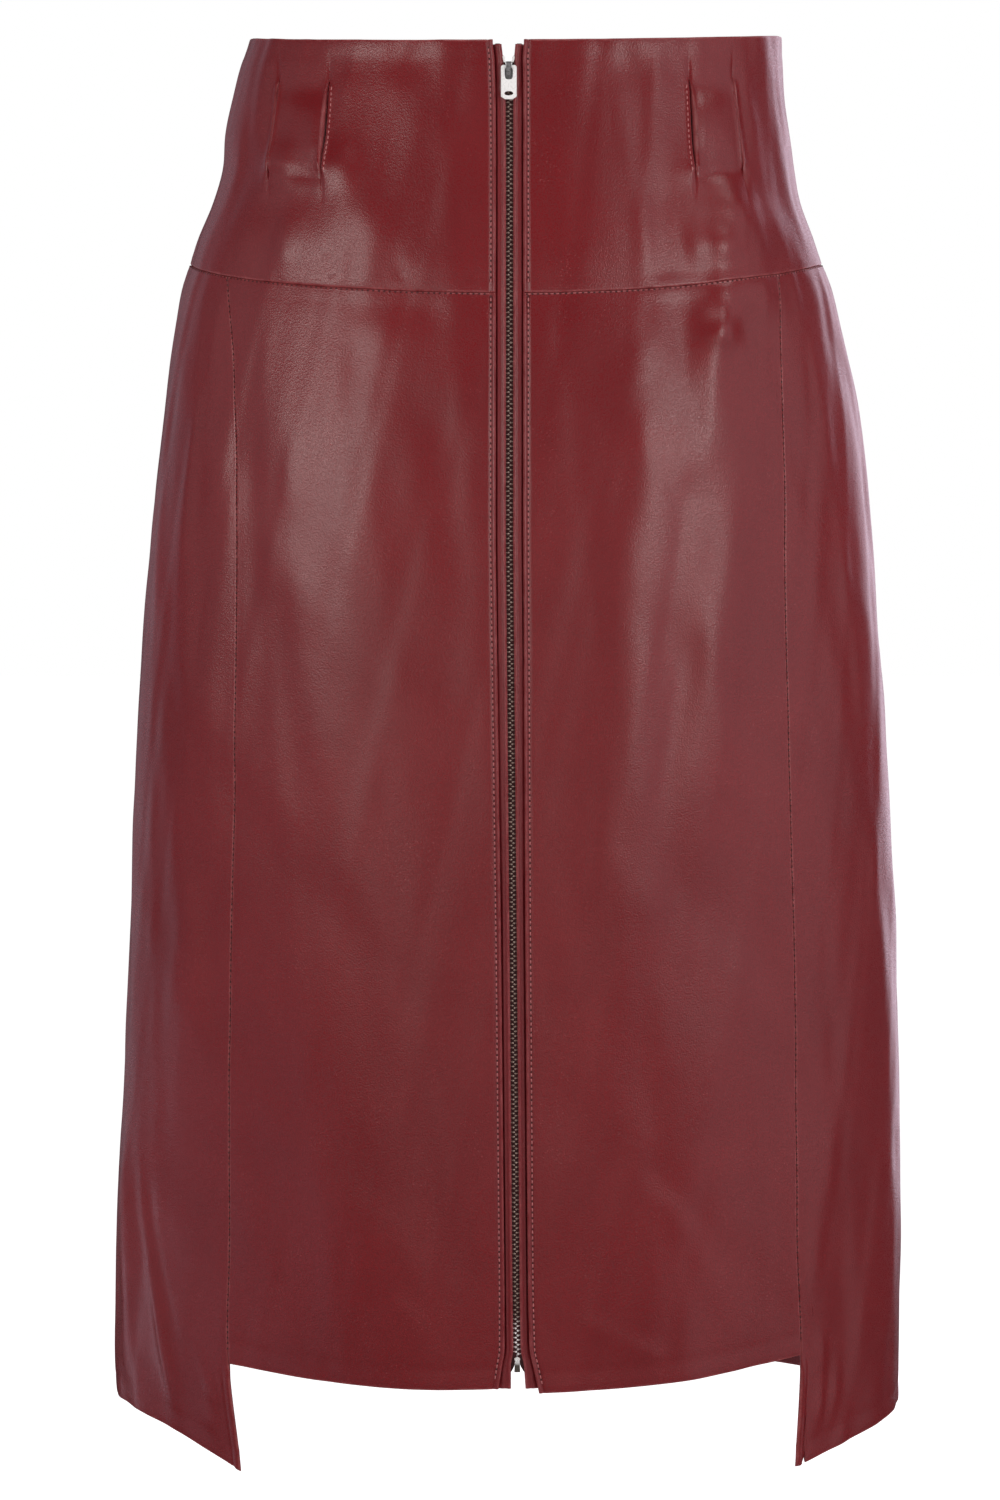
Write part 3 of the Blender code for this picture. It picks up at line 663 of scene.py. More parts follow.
def copies(name, corners, faces, points, forward, normals, materials):
    """Copies of a small mesh, joined: its X goes forward, its Z outward."""
    across = unit(np.cross(normals, forward))
    lifted = unit(np.cross(forward, across))
    axes = np.stack([forward, across, lifted], axis=1)
    placed = points[:, None, :] + np.einsum("vi,nij->nvj", corners, axes)
    starts = range(0, len(points) * len(corners), len(corners))
    all_faces = [tuple(corner + start for corner in face) for start in starts for face in faces]
    return object_from(name, placed, all_faces, materials)


def lofted(rings):
    """Corners and faces of a closed form through rings of equally many points."""
    sides = len(rings[0])
    faces = [
        (ring * sides + side, ring * sides + (side + 1) % sides,
         (ring + 1) * sides + (side + 1) % sides, (ring + 1) * sides + side)
        for ring in range(len(rings) - 1)
        for side in range(sides)
    ]
    faces.append(tuple(range(sides))[::-1])
    faces.append(tuple(range((len(rings) - 1) * sides, len(rings) * sides)))
    return np.array(rings, float).reshape(-1, 3), faces


STITCH_LONG = 0.0018
STITCH_RADIUS = 0.00040
STITCH_SIDES = 6
STITCH_RINGS = ((-0.50, 0.35), (-0.36, 0.86), (0.0, 1.0), (0.36, 0.86), (0.50, 0.35))
# Size of the dark discs of painted shade that stand for needle holes
HOLE_LONG = 0.00062
HOLE_WIDE = 0.00040
HOLE_RISE = 0.00005
HOLE_SIDES = 8
HOLE_RINGS = ((1.0, -HOLE_RISE), (1.0, 0.0), (0.6, HOLE_RISE))
PATH_POINTS = 900


def circle(sides):
    turns = [2 * math.pi * side / sides for side in range(sides)]
    return [(math.cos(turn), math.sin(turn)) for turn in turns]


STITCH_FORM = lofted([
    [(place * STITCH_LONG, STITCH_RADIUS * thick * y, STITCH_RADIUS * thick * z)
     for y, z in circle(STITCH_SIDES)]
    for place, thick in STITCH_RINGS
])
HOLE_FORM = lofted([
    [(HOLE_LONG * size * x, HOLE_WIDE * size * y, rise) for x, y in circle(HOLE_SIDES)]
    for size, rise in HOLE_RINGS
])


def sewn(name, paths, out, offset, form, material):
    """Copies of a small form along paths of (angle, height), a stitch's pitch apart."""
    places = [walk(*skin(angle, height, out + 0 * angle), STITCH_PITCH, offset)
              for angle, height in paths]
    points, forward, normals = (np.concatenate(column) for column in zip(*places))
    copies(name, *form, points, forward, normals, [material])


def needle_hole_shades(name, paths, out):
    """Dark discs of painted shade where the needle holes are, one between every two stitches."""
    sewn(f"holes_{name}", paths, out, 0.0, HOLE_FORM, HOLE_SHADE)


def stitches(name, paths, sunk, thread_out, hole_shade_out):
    """Stitches with painted hole shades between them, each so far out from the skin, which is sunk."""
    sewn(f"stitches_{name}", paths, thread_out - sunk, 0.5, STITCH_FORM, THREAD)
    needle_hole_shades(name, paths, hole_shade_out - sunk)


def down(line, top, bottom):
    """A path down a line, between two heights."""
    height = np.linspace(top, bottom, PATH_POINTS)
    return line(height), height


def round_from(line, start, end):
    """A path round the skirt along a line of heights, between two angles."""
    angle = np.linspace(start, end, PATH_POINTS)
    return angle, line(angle)


# ---- materials

# Scales of the leather's detail, in repeats to the metre
CLOUDS, GLOSS_PATCHES, FROST, DENTS, RUBS, TIPS, FLECKS, GRAIN, PORES = (
    14, 28, 34, 70, 160, 560, 900, 1300, 1500
)
BEND = 0.9  # how far a grain is bent, as a share of its size
BEND_SCALE = 0.35  # scale of the noise that bends it, as a share of its own scale
# Places of a colour mix's sockets, whose names other kinds of mix share
MIX_FIRST, MIX_SECOND, MIX_RESULT = 6, 7, 2


class Nodes:
    """A material's shader, and short calls that add nodes to it."""

    def __init__(self, name):
        self.material = bpy.data.materials.new(name)
        self.material.use_nodes = True
        self.tree = self.material.node_tree
        self.shader = self.tree.nodes["Principled BSDF"]
        self.place = self.add("ShaderNodeTexCoord", {}).outputs["Object"]

    def feed(self, node, sockets):
        """Gives sockets a value each, or the output of another node."""
        for key, value in sockets.items():
            if isinstance(value, bpy.types.NodeSocket):
                self.tree.links.new(value, node.inputs[key])
            else:
                node.inputs[key].default_value = value

    def add(self, kind, sockets, **settings):
        node = self.tree.nodes.new(kind)
        for key, value in settings.items():
            setattr(node, key, value)
        self.feed(node, sockets)
        return node

    def noise(self, scale, detail=3.0, roughness=0.5, distortion=0.0, stretch=(1, 1, 1)):
        place = self.add("ShaderNodeMapping", {"Vector": self.place, "Scale": stretch})
        sockets = {"Vector": place.outputs["Vector"], "Scale": scale, "Detail": detail}
        sockets |= {"Roughness": roughness, "Distortion": distortion}
        return self.add("ShaderNodeTexNoise", sockets).outputs["Fac"]

    def pebbles(self, scale, smoothness):
        """Rounded grains, each a little bent out of shape."""
        bend = self.add("ShaderNodeTexNoise", {"Vector": self.place, "Scale": BEND_SCALE * scale})
        sockets = {0: bend.outputs["Color"], 1: (BEND / scale,) * 3, 2: self.place}
        shift = self.add("ShaderNodeVectorMath", sockets, operation="MULTIPLY_ADD")
        sockets = {"Vector": shift.outputs["Vector"], "Scale": scale, "Smoothness": smoothness}
        return self.add("ShaderNodeTexVoronoi", sockets, feature="SMOOTH_F1").outputs["Distance"]

    def attribute(self, name):
        return self.add("ShaderNodeAttribute", {}, attribute_name=name).outputs["Fac"]

    def ranged(self, source, low, high, to_low=0.0, to_high=1.0):
        sockets = {"Value": source, "From Min": low, "From Max": high}
        sockets |= {"To Min": to_low, "To Max": to_high}
        return self.add("ShaderNodeMapRange", sockets).outputs["Result"]

    def times(self, first, second):
        node = self.add("ShaderNodeMath", {0: first, 1: second}, operation="MULTIPLY")
        return node.outputs["Value"]

    def blend(self, share, first, second):
        """A mix of two colours, each a node's output or its red, green and blue."""
        colours = [(*part, 1.0) if isinstance(part, tuple) else part for part in (first, second)]
        sockets = {"Factor": share, MIX_FIRST: colours[0], MIX_SECOND: colours[1]}
        return self.add("ShaderNodeMix", sockets, data_type="RGBA").outputs[MIX_RESULT]

    def bump(self, height, strength, distance, hollow=False, **under):
        sockets = {"Strength": strength, "Distance": distance, "Height": height, **under}
        return self.add("ShaderNodeBump", sockets, invert=hollow).outputs["Normal"]

    def stain(self, scale):
        """A cloudy tarnish, from 0 to 1."""
        return self.ranged(self.noise(scale, 4, 0.6, 0.5), 0.35, 0.70)

    def finish(self, colour, roughness, normal, **values):
        sockets = {"Base Color": colour, "Roughness": roughness, "Normal": normal}
        sockets |= {key.replace("_", " "): value for key, value in values.items()}
        self.feed(self.shader, sockets)
        return self.material


def leather_material(name, deep, light, worn, furrow, roughness):
    """Fine-grained nappa: pebbled, a little uneven in colour, lighter along its edges."""
    nodes = Nodes(name)
    clouds = nodes.ranged(nodes.noise(CLOUDS, 4, 0.55, 0.4), 0.35, 0.68)
    flecks = nodes.ranged(nodes.noise(FLECKS, 2, 0.6), 0.40, 0.64, 0.0, 0.35)
    rub = nodes.times(nodes.attribute("wear"), nodes.noise(RUBS, 3, 0.6))
    colour = nodes.blend(flecks, nodes.blend(clouds, deep, light), deep)
    colour = nodes.blend(nodes.ranged(rub, 0.20, 0.60, 0.0, 0.7), colour, worn)
    grain = nodes.pebbles(GRAIN, 0.2)
    colour = nodes.blend(nodes.ranged(grain, 0.20, 0.66, 0.0, 0.4), colour, furrow)
    frosted = nodes.ranged(nodes.noise(FROST, 4, 0.65, 0.8), 0.50, 0.66)
    tips = nodes.ranged(nodes.pebbles(TIPS, 0.0), 0.06, 0.24, 0.45, 0.0)
    colour = nodes.blend(nodes.times(frosted, tips), colour, worn)
    normal = nodes.bump(nodes.noise(DENTS, 3, 0.5, 0.3), 0.22, 0.0006)
    normal = nodes.bump(nodes.noise(PORES, 2, 0.6), 0.30, 0.00004, Normal=normal)
    normal = nodes.bump(grain, 0.9, 0.00008, hollow=True, Normal=normal)
    gloss = nodes.noise(GLOSS_PATCHES, 5, 0.6, 0.5)
    smooth = nodes.ranged(gloss, 0.3, 0.7, roughness - 0.04, roughness + 0.05)
    rough = nodes.ranged(grain, 0.30, 0.62, smooth, roughness + 0.12)
    return nodes.finish(colour, rough, normal, Coat_Weight=0.06, Coat_Roughness=0.24)


def fibre_material(name, noise, first, second, rough, bump, **values):
    """A matt material whose colour, roughness and bump follow one noise."""
    nodes = Nodes(name)
    fibre = nodes.noise(*noise)
    colour = nodes.blend(fibre, first, second)
    rough = nodes.ranged(fibre, 0, 1, *rough)
    return nodes.finish(colour, rough, nodes.bump(fibre, *bump), **values)


def metal_material(name, dark, light, roughness, scale, metallic):
    """Metal with a cloudy tarnish and faint scratches."""
    nodes = Nodes(name)
    stain = nodes.stain(scale)
    rough = nodes.ranged(stain, 0, 1, roughness - 0.04, roughness + 0.12)
    scratch = nodes.bump(nodes.noise(scale * 3, 2, 0.5, 0.0, (1.0, 1.0, 0.3)), 0.1, 0.00005)
    return nodes.finish(nodes.blend(stain, light, dark), rough, scratch, Metallic=metallic)


# Near-white colour of a painted highlight on the zip's metal
PAINTED_GLINT = (1.0, 0.98, 0.97)


def painted_glint_metal(name, light, dark, painted_glint_from, painted_glint_fully):
    """Tarnished metal whose colour turns to a near-white painted highlight between two heights."""
    nodes = Nodes(name)
    stain = nodes.stain(1500)
    height = nodes.add("ShaderNodeSeparateXYZ", {0: nodes.place}).outputs["Z"]
    painted_glint = nodes.ranged(height, painted_glint_from, painted_glint_fully)
    colour = nodes.blend(painted_glint, nodes.blend(stain, light, dark), PAINTED_GLINT)
    rough = nodes.ranged(stain, 0, 1, 0.20, 0.34)
    return nodes.finish(colour, rough, nodes.bump(stain, 0.1, 0.00005), Metallic=0.4)


LEATHER = leather_material(
    "leather", (0.180, 0.0100, 0.0135), (0.218, 0.0135, 0.0170), (0.44, 0.115, 0.118),
    (0.100, 0.005, 0.007), 0.25
)
FACING_LEATHER = leather_material(
    "facing_leather", (0.195, 0.0120, 0.0170), (0.240, 0.0165, 0.0215), (0.46, 0.125, 0.130),
    (0.110, 0.008, 0.010), 0.32
)
THREAD = fibre_material(
    "thread", (2600, 2, 0.5), (0.33, 0.075, 0.078), (0.52, 0.190, 0.190), (0.45, 0.60), (0.5, 0.0001)
)
# Near black: painted shade, standing for the dark inside of the needle holes
HOLE_SHADE = fibre_material(
    "needle_hole_shade", (1800, 2, 0.5), (0.035, 0.004, 0.005), (0.070, 0.008, 0.010), (0.75, 0.90),
    (0.3, 0.0001)
)
NICKEL = metal_material("pull_nickel", (0.97, 0.96, 0.95), (1.0, 0.99, 0.98), 0.26, 600, 0.1)
DARK_METAL = metal_material("dark_metal", (0.10, 0.095, 0.095), (0.42, 0.41, 0.42), 0.30, 900, 0.5)
# The teeth's lowest centimetre and the end box's top get a painted highlight, set by height
TOOTH_METAL = painted_glint_metal("tooth_metal", (0.52, 0.42, 0.36), (0.22, 0.15, 0.12), -0.615, -0.622)
END_METAL = painted_glint_metal("zip_end_metal", (0.16, 0.13, 0.11), (0.05, 0.04, 0.035), -0.6392, -0.6376)
FLESH = fibre_material(
    "leather_inside", (700, 5, 0.7), (0.085, 0.016, 0.018), (0.15, 0.030, 0.032), (0.82, 0.95),
    (0.4, 0.0003), Sheen_Weight=0.15
)
SKIN_MATERIALS = [LEATHER, FLESH]
TAPE = fibre_material(
    "zip_tape_cloth", (1500, 2, 0.5, 0.0, (1.0, 1.0, 0.35)), (0.035, 0.008, 0.009),
    (0.085, 0.020, 0.021), (0.75, 0.9), (0.5, 0.0002)
)

# ---- leather pieces

# In the calls of these, columns and rows are the steps between the fine lines at the edges.


def framed(top, bottom, bottom_steps, rows, middle=()):
    """The lines round a piece, with fine ones at its top and bottom, and the steps between."""
    rounds = [lowered(top, step) for step in (0, *SEAM_STEPS)]
    rounds += [*middle, *(lowered(bottom, -step) for step in reversed((0, *bottom_steps)))]
    return rounds, [1] * len(SEAM_STEPS) + [*rows] + [1] * len(bottom_steps)


def panel_rounds(hem, rows):
    return framed(lowered(yoke_seam, TOUCH), hem, HEM_STEPS, [rows])


def panel_grid(left, left_steps, right, right_steps, rounds, columns):
    """A grid between two lines down, with fine lines inside both."""
    lines = inset(left, left_steps, 1) + inset(right, right_steps, -1)[::-1]
    return grid(lines, [1] * len(left_steps) + [columns] + [1] * len(right_steps), *rounds)


def sided_grid(side, outer, outer_steps, inner, inner_steps, rounds, columns):
    """A grid of one side of the skirt, and the distances in from its outer and inner lines."""
    if side < 0:
        cells = panel_grid(outer, outer_steps, inner, inner_steps, rounds, columns)
        return cells, cells.left, cells.right
    cells = panel_grid(inner, inner_steps, outer, outer_steps, rounds, columns)
    return cells, cells.right, cells.left


def front_panel(side, word):
    seam, edge = moved(front_seam(side), -side * TOUCH), beside_zip(side, "edge_gap")
    rounds = panel_rounds(front_hem(side), rows=200)
    cells, sewn_in, zipped = sided_grid(side, seam, SEAM_STEPS, edge, ZIP_STEPS, rounds, columns=88)
    edges = [(sewn_in, SEAM), (zipped, ZIP_EDGE), (cells.top, YOKE_SEAM), (cells.bottom, HEM)]
    made = leather_shell(f"leather_front_{word}", cells, edges)
    stands_for(made, f"front_panel_{word}")


FREE_STEPS = (*SEAM_STEPS, 0.0042, 0.0047, 0.0050, 0.0053, 0.0058, 0.0068, 0.0080)
NOTCH_IN = 0.0050  # from the right side panel's free front edge to the slit in its hem
NOTCH_TALL = 0.0075
NOTCH_HALF_WIDTH = 0.00040
FREE_FADE = 0.010  # height over which the free edge below a front hem passes into its seam


def side_panel(side, word):
    """A side panel. Below the front hem its front edge is a free, turned one."""
    seam, back = moved(front_seam(side), side * TOUCH), moved(back_seam(side), -side * TOUCH)
    notch = moved(seam, side * NOTCH_IN)(RIGHT_EDGES.hem)

    def hem(angle):
        """On the right, a small slit parts the turned strip from the panel."""
        if side < 0:
            return long_hem(angle)
        return long_hem(angle) + NOTCH_TALL * hump((angle - notch) * FOLD_RADIUS, NOTCH_HALF_WIDTH)

    rounds = panel_rounds(hem, rows=176)
    cells, sewn_in, free = sided_grid(side, back, SEAM_STEPS, seam, FREE_STEPS, rounds, columns=84)
    open_share = ease((front_hem(side)(cells.angle) - cells.height) / FREE_FADE)
    edges = [(sewn_in, SEAM), (free, SEAM, 1 - open_share)]
    edges += [(free, TUBE if side > 0 else TURNED, open_share)]
    edges += [(cells.top, YOKE_SEAM), (cells.bottom, HEM)]
    made = leather_shell(f"leather_side_{word}", cells, edges)
    stands_for(made, f"side_panel_{word}")


def back_piece(name, node, seam, rounds, columns, top, bottom):
    """A piece across the back, between a seam's two sides, with finishes for top and bottom."""
    right, left_seam = moved(seam(1), TOUCH), seam(-1)
    left = moved(lambda height: left_seam(height) + 2 * math.pi, -TOUCH)  # round the back
    cells = panel_grid(right, SEAM_STEPS, left, SEAM_STEPS, rounds, columns)
    edges = [(cells.left, SEAM), (cells.right, SEAM), (cells.top, top), (cells.bottom, bottom)]
    stands_for(leather_shell(name, cells, edges), node)


# Lines round a yoke, as shares of its height: the slits' ends lie on two of them
YOKE_SHARES = (0.06, SLIT_TOP, SLIT_BOTTOM, 0.94)
YOKE_ROWS = (2, 6, 20, 18, 2)


def yoke_share(share):
    return lambda angle: mix(waist_edge(angle), yoke_seam(angle), share)


def yoke_rounds():
    middle = [yoke_share(share) for share in YOKE_SHARES]
    return framed(waist_edge, lowered(yoke_seam, -TOUCH), SEAM_STEPS, YOKE_ROWS, middle)


SLIT_ENDS = 0.25  # share of its bow within which a slit closes towards its ends
LIFT_ENDS = 0.3  # share of a slit's length over which the strip's lift fades
DART_SINK = 0.0007  # of the dart lines that fade out above and below the slits
DART_HALF_WIDTH = 0.0011
DART_FADE = 0.14  # share of the yoke's height over which they fade
HEM_FOLD_SINK = 0.0009  # of the crease under the belt carrier
HEM_FOLD_AT = 0.005  # below the slits' ends, as a share of the yoke's height
HEM_FOLD_HALF = 0.022  # its half-height, as such a share
YOKE_COLUMNS = (24, 14, 40)  # side cloth, strip, front cloth


def front_yoke(side, word):
    """A front yoke with its two slits. The strip between them stands out as a belt carrier."""
    outer_cloth = slit_line(side, True, SLIT_HALF_WIDTH / 2)
    outer_strip = slit_line(side, True, -SLIT_HALF_WIDTH / 2)
    inner_strip = slit_line(side, False, SLIT_HALF_WIDTH, STRIP_GAP)
    inner_cloth = slit_line(side, False, -SLIT_HALF_WIDTH)
    lines = inset(moved(side_seam(side), -side * TOUCH), SEAM_STEPS, -side)
    lines += inset(outer_cloth, SLIT_STEPS, side)[::-1] + inset(outer_strip, SLIT_STEPS, -side)
    lines += inset(inner_strip, SLIT_STEPS, side)[::-1] + inset(inner_cloth, SLIT_STEPS, -side)
    lines += inset(beside_zip(side, "edge_gap"), ZIP_STEPS, side)[::-1]
    fine, (side_cloth, strip, front_cloth) = [1] * len(SLIT_STEPS), YOKE_COLUMNS
    columns = [1] * len(SEAM_STEPS) + [side_cloth, *fine, 1, *fine, strip, *fine, 1, *fine]
    columns += [front_cloth] + [1] * len(ZIP_STEPS)
    outer_slit = len(SEAM_STEPS) + side_cloth + len(fine)
    inner_slit = outer_slit + 1 + 2 * len(fine) + strip
    if side > 0:
        lines.reverse()
        columns.reverse()
        outer_slit, inner_slit = sum(columns) - 1 - outer_slit, sum(columns) - 1 - inner_slit
    cells = grid(lines, columns, *yoke_rounds())
    to_zip, to_side = (0, 1) if side > 0 else (1, 0)  # steps from a slit's column to its edges

    waist, seam = waist_edge(cells.angle), yoke_seam(cells.angle)
    share = (waist - cells.height) / (waist - seam)
    down_slit = np.clip((share - SLIT_TOP) / (SLIT_BOTTOM - SLIT_TOP), 0, 1)
    bowed = np.sin(math.pi * down_slit)
    opened = ease(bowed / SLIT_ENDS)
    lift = bowed * ease(down_slit / LIFT_ENDS) * ease((1 - down_slit) / LIFT_ENDS)
    run = cells.left
    strip_outer, strip_inner = run[:, [outer_slit + to_zip]], run[:, [inner_slit + to_side]]
    cloth_outer, cloth_inner = run[:, [outer_slit + to_side]], run[:, [inner_slit + to_zip]]
    across = (run - strip_outer) / (strip_inner - strip_outer)
    on_strip = (across >= 0) & (across <= 1)
    rolled = np.sqrt(np.clip(np.abs(run - strip_inner) / STRIP_CREST, 0, 1))
    form = STRIP_RISE * lift * mix(STRIP_OUTER_SHARE, 1, ease(across)) * rolled * on_strip
    dart = ease(1 - (SLIT_TOP - share) / DART_FADE) * ease(1 - (share - SLIT_BOTTOM) / DART_FADE)
    for edge in (cloth_outer, cloth_inner):
        form = form - DART_SINK * dart * (1 - opened) * hump(run - edge, DART_HALF_WIDTH)
    form = form - HEM_FOLD_SINK * on_strip * hump(share - SLIT_BOTTOM - HEM_FOLD_AT, HEM_FOLD_HALF)

    zipped, sewn_in = (cells.left, cells.right) if side > 0 else (cells.right, cells.left)
    edges = [(cells.top, WAIST), (cells.bottom, YOKE_SEAM), (zipped, ZIP_EDGE), (sewn_in, SEAM)]
    outside, inside = side * (run - cloth_outer) >= 0, side * (cloth_inner - run) >= 0
    for edge, cloth in zip((strip_outer, strip_inner, cloth_outer, cloth_inner),
                           (on_strip, on_strip, outside, inside)):
        edges.append((np.abs(run - edge), SLIT, opened * cloth))
    first = len(SEAM_STEPS) + YOKE_ROWS[0] + YOKE_ROWS[1]
    slit_rows = range(first, first + YOKE_ROWS[2])
    hole_shades = [(row, slit) for row in slit_rows for slit in (outer_slit, inner_slit)]
    made = leather_shell(f"leather_yoke_{word}", cells, edges, form=form, hole_shades=hole_shades)
    stands_for(made, f"yoke_front_{word}")


FACING_STEPS = (*ROLL_STEPS, 0.0009, 0.0013, 0.0018, 0.0024, 0.0031, 0.0040)
FACING_TOP_DROP = 0.0020
FACING_TUCK = 0.0016  # how far a facing sinks where it passes under its front edge
TUCK_BEFORE = 0.0008  # from that edge to where it starts to sink
TUCK_LENGTH = 0.0010
FACING_CLOSE = 0.0004  # how far its rolled edge leans over the teeth


def zip_facing(side, word):
    """The strip under a front edge that carries one side of the zip, with a rolled inner edge."""
    inner = moved(beside_zip(side, "facing_gap"), -side * FACING_CLOSE)
    outer = moved(beside_zip(side, "edge_gap"), side * FACING_UNDERLAP)
    top = float(waist_edge(0.0)) - FACING_TOP_DROP
    rounds = framed(level(top), level(FACING_BOTTOM), SEAM_STEPS, rows=[230])
    cells, hidden, free = sided_grid(side, outer, ROLL_STEPS, inner, FACING_STEPS, rounds, columns=6)
    edge_gap, facing_gap = (along(ZIP, gap, cells.height) for gap in ("edge_gap", "facing_gap"))
    shown = edge_gap - facing_gap + FACING_CLOSE
    tuck = -FACING_TUCK * ease((free - shown + TUCK_BEFORE) / TUCK_LENGTH)
    edges = [(free, FACING_EDGE), (hidden, CUT), (cells.top, FACING_END), (cells.bottom, FACING_END)]
    made = leather_shell(f"leather_facing_{word}", cells, edges,
                         form=tuck, out=FACING_OUT, wall=FACING_WALL)
    made.data.materials[0] = FACING_LEATHER
    stands_for(made, f"zip_facing_{word}")


# ---- the zip

# Half the gap between the tape's two halves: they meet under the teeth and part at both ends
TAPE_ROWS = in_mm(
    "height gap", "",
    (-8, 4.2),
    (-12.8, 3.8),
    (-14.2, 1.8),
    (-17.5, 1.6),
    (-25, 0.02),
    (-636.6, 0.02),
    (-638, 0.9),
    (-640.2, 1.7),
    (-642.5, 3),
)
TAPE_COLUMNS = (6, 1, 6)  # the left half, the gap and the right half
TAPE_STEPS = (16, 150, 10)  # rows above, along and below the stretch where the halves meet


def zip_tape():
    """Both halves of the tape, as one sheet under the facings."""
    inner = [beside_zip(side, "gap", TAPE_ROWS) for side, _ in SIDES]
    lines = [zip_line(-TAPE_HALF_WIDTH), *inner, zip_line(TAPE_HALF_WIDTH)]
    met = [row.height for row in TAPE_ROWS if row.gap < 2 * TOUCH]
    rounds = [level(height) for height in (TAPE_ROWS[0].height, *met, TAPE_ROWS[-1].height)]
    cells = grid(lines, TAPE_COLUMNS, rounds, TAPE_STEPS)
    hole_shades = [(row, TAPE_COLUMNS[0]) for row in range(sum(TAPE_STEPS))]
    made = leather_shell("zip_tape", cells, [],
                         out=TAPE_OUT, wall=TAPE_WALL, hole_shades=hole_shades)
    made.data.materials.clear()
    made.data.materials.append(TAPE)
    made.data.polygons.foreach_set("material_index", [0] * len(made.data.polygons))


# One tooth from its head, just past the zip's centre, to its legs on the tape: place across,
# half its height along the zip, and how far its top stands above the tape
TOOTH = in_mm(
    "across half_tall top", "",
    (-0.10, 0.20, 1.00),
    (0.20, 0.40, 1.68),
    (0.55, 0.47, 1.84),
    (0.90, 0.38, 1.50),
    (1.15, 0.24, 0.70),
    (1.95, 0.20, 0.40),
)
TOOTH_PROFILE = ((-1, 0), (1, 0), (1, 0.62), (0.72, 0.88), (0, 1), (-0.72, 0.88), (-1, 0.62))
TOOTH_OFFSETS = (0.25, 0.75)  # of the left and the right row, in pitches


def zip_teeth():
    """Both rows of teeth, set between each other."""
    path, normals = skin(*down(zip_line(0.0), CHAIN_TOP, CHAIN_END), np.full(PATH_POINTS, TAPE_OUT))
    tooth = lofted([
        [(ring.across, ring.half_tall * y, ring.top * z) for y, z in TOOTH_PROFILE] for ring in TOOTH
    ])
    for (side, word), offset in zip(SIDES, TOOTH_OFFSETS):
        points, forward, outs = walk(path, normals, TOOTH_PITCH, offset)
        aside = side * unit(np.cross(outs, -forward))
        made = copies(f"zip_teeth_{word}", *tooth, points, -aside, outs, [TOOTH_METAL])
        if side > 0:
            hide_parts("zip_chain")


SEAM_HOLE_SINK = 0.00010
YOKE_STITCH_DROP = 0.0007  # from the yoke seam to the row of painted hole shades under it
# Heights near which paths end or begin, where the angles of their lines are read
YOKE_LEVEL, FRONT_HEM_LEVEL, LONG_HEM_LEVEL, SLIT_LEVEL, ZIP_LEVEL = -0.12, -0.645, -0.68, -0.05, -0.127
SEAM_CLEAR = 0.002  # from a seam or a slit's upper end to the first stitch
HEM_CLEAR = 0.003  # from a hem to the last painted hole shade
EDGE_CLEAR = 0.004  # from the waist and the front hem to the zip's stitches
SLIT_OVERRUN = 0.001  # of a slit's stitches past its lower end
ZIP_CLEAR = 0.01  # radians from a front edge to the yoke seam's stitches


def seam_hole_shades(name, seam, hem, hem_level):
    """The painted shades of a seam's needle holes down the skirt, from the yoke to a hem."""
    top = float(yoke_seam(seam(YOKE_LEVEL))) - SEAM_CLEAR
    bottom = float(hem(seam(hem_level))) + HEM_CLEAR
    needle_hole_shades(name, [down(seam, top, bottom)], -SEAM_HOLE_SINK)


def all_stitches():
    waist, yoke_low = float(waist_edge(0.0)), float(yoke_seam(0.0))
    for side, word in SIDES:
        row, hem = moved(beside_zip(side, "edge_gap"), side * ZIP_STITCH_IN), front_hem(side)
        paths = [down(row, waist - EDGE_CLEAR, yoke_low + SEAM_CLEAR)]
        paths.append(down(row, yoke_low - SEAM_CLEAR, float(hem(0.0)) + EDGE_CLEAR))
        stitches(f"zip_{word}", paths, ZIP_EDGE.dip, thread_out=0.00014, hole_shade_out=0.00022)
        seam_hole_shades(f"front_seam_{word}", front_seam(side), hem, FRONT_HEM_LEVEL)
        seam_hole_shades(f"back_seam_{word}", back_seam(side), long_hem, LONG_HEM_LEVEL)
        slit = slit_line(side, False, -SLIT_HALF_WIDTH - SLIT_STITCH_IN)
        top, bottom = (float(yoke_share(share)(slit(SLIT_LEVEL))) for share in (SLIT_TOP, SLIT_BOTTOM))
        paths = [down(slit, top - SEAM_CLEAR, bottom + SLIT_OVERRUN)]
        stitches(f"slit_{word}", paths, 0, thread_out=0.00008, hole_shade_out=0.00002)
    zip_left, zip_right = (float(beside_zip(side, "edge_gap")(ZIP_LEVEL)) for side, _ in SIDES)
    lower = lowered(yoke_seam, YOKE_STITCH_DROP)
    paths = [round_from(lower, zip_right + ZIP_CLEAR, math.pi)]
    paths.append(round_from(lower, -math.pi, zip_left - ZIP_CLEAR))
    stitches("yoke_seam", paths, YOKE_SEAM.dip, thread_out=-0.00036, hole_shade_out=0.00006)


# ---- stage, light and camera

CENTRE = Vector((0, 0, -0.35))
FLOOR_HEIGHT = -1.25
FLOOR_REACH = 14.0
WORLD_SEEN = 1.0
WORLD_GLOW = 0.03
FLOOR_SEEN = 1.0
FLOOR_GLOW = 0.35
WARM = (1.0, 0.96, 0.93)
PLAIN = (1.0, 0.98, 0.97)
VIOLET = (1.0, 0.84, 1.0)
ROSE = (1.0, 0.94, 1.0)

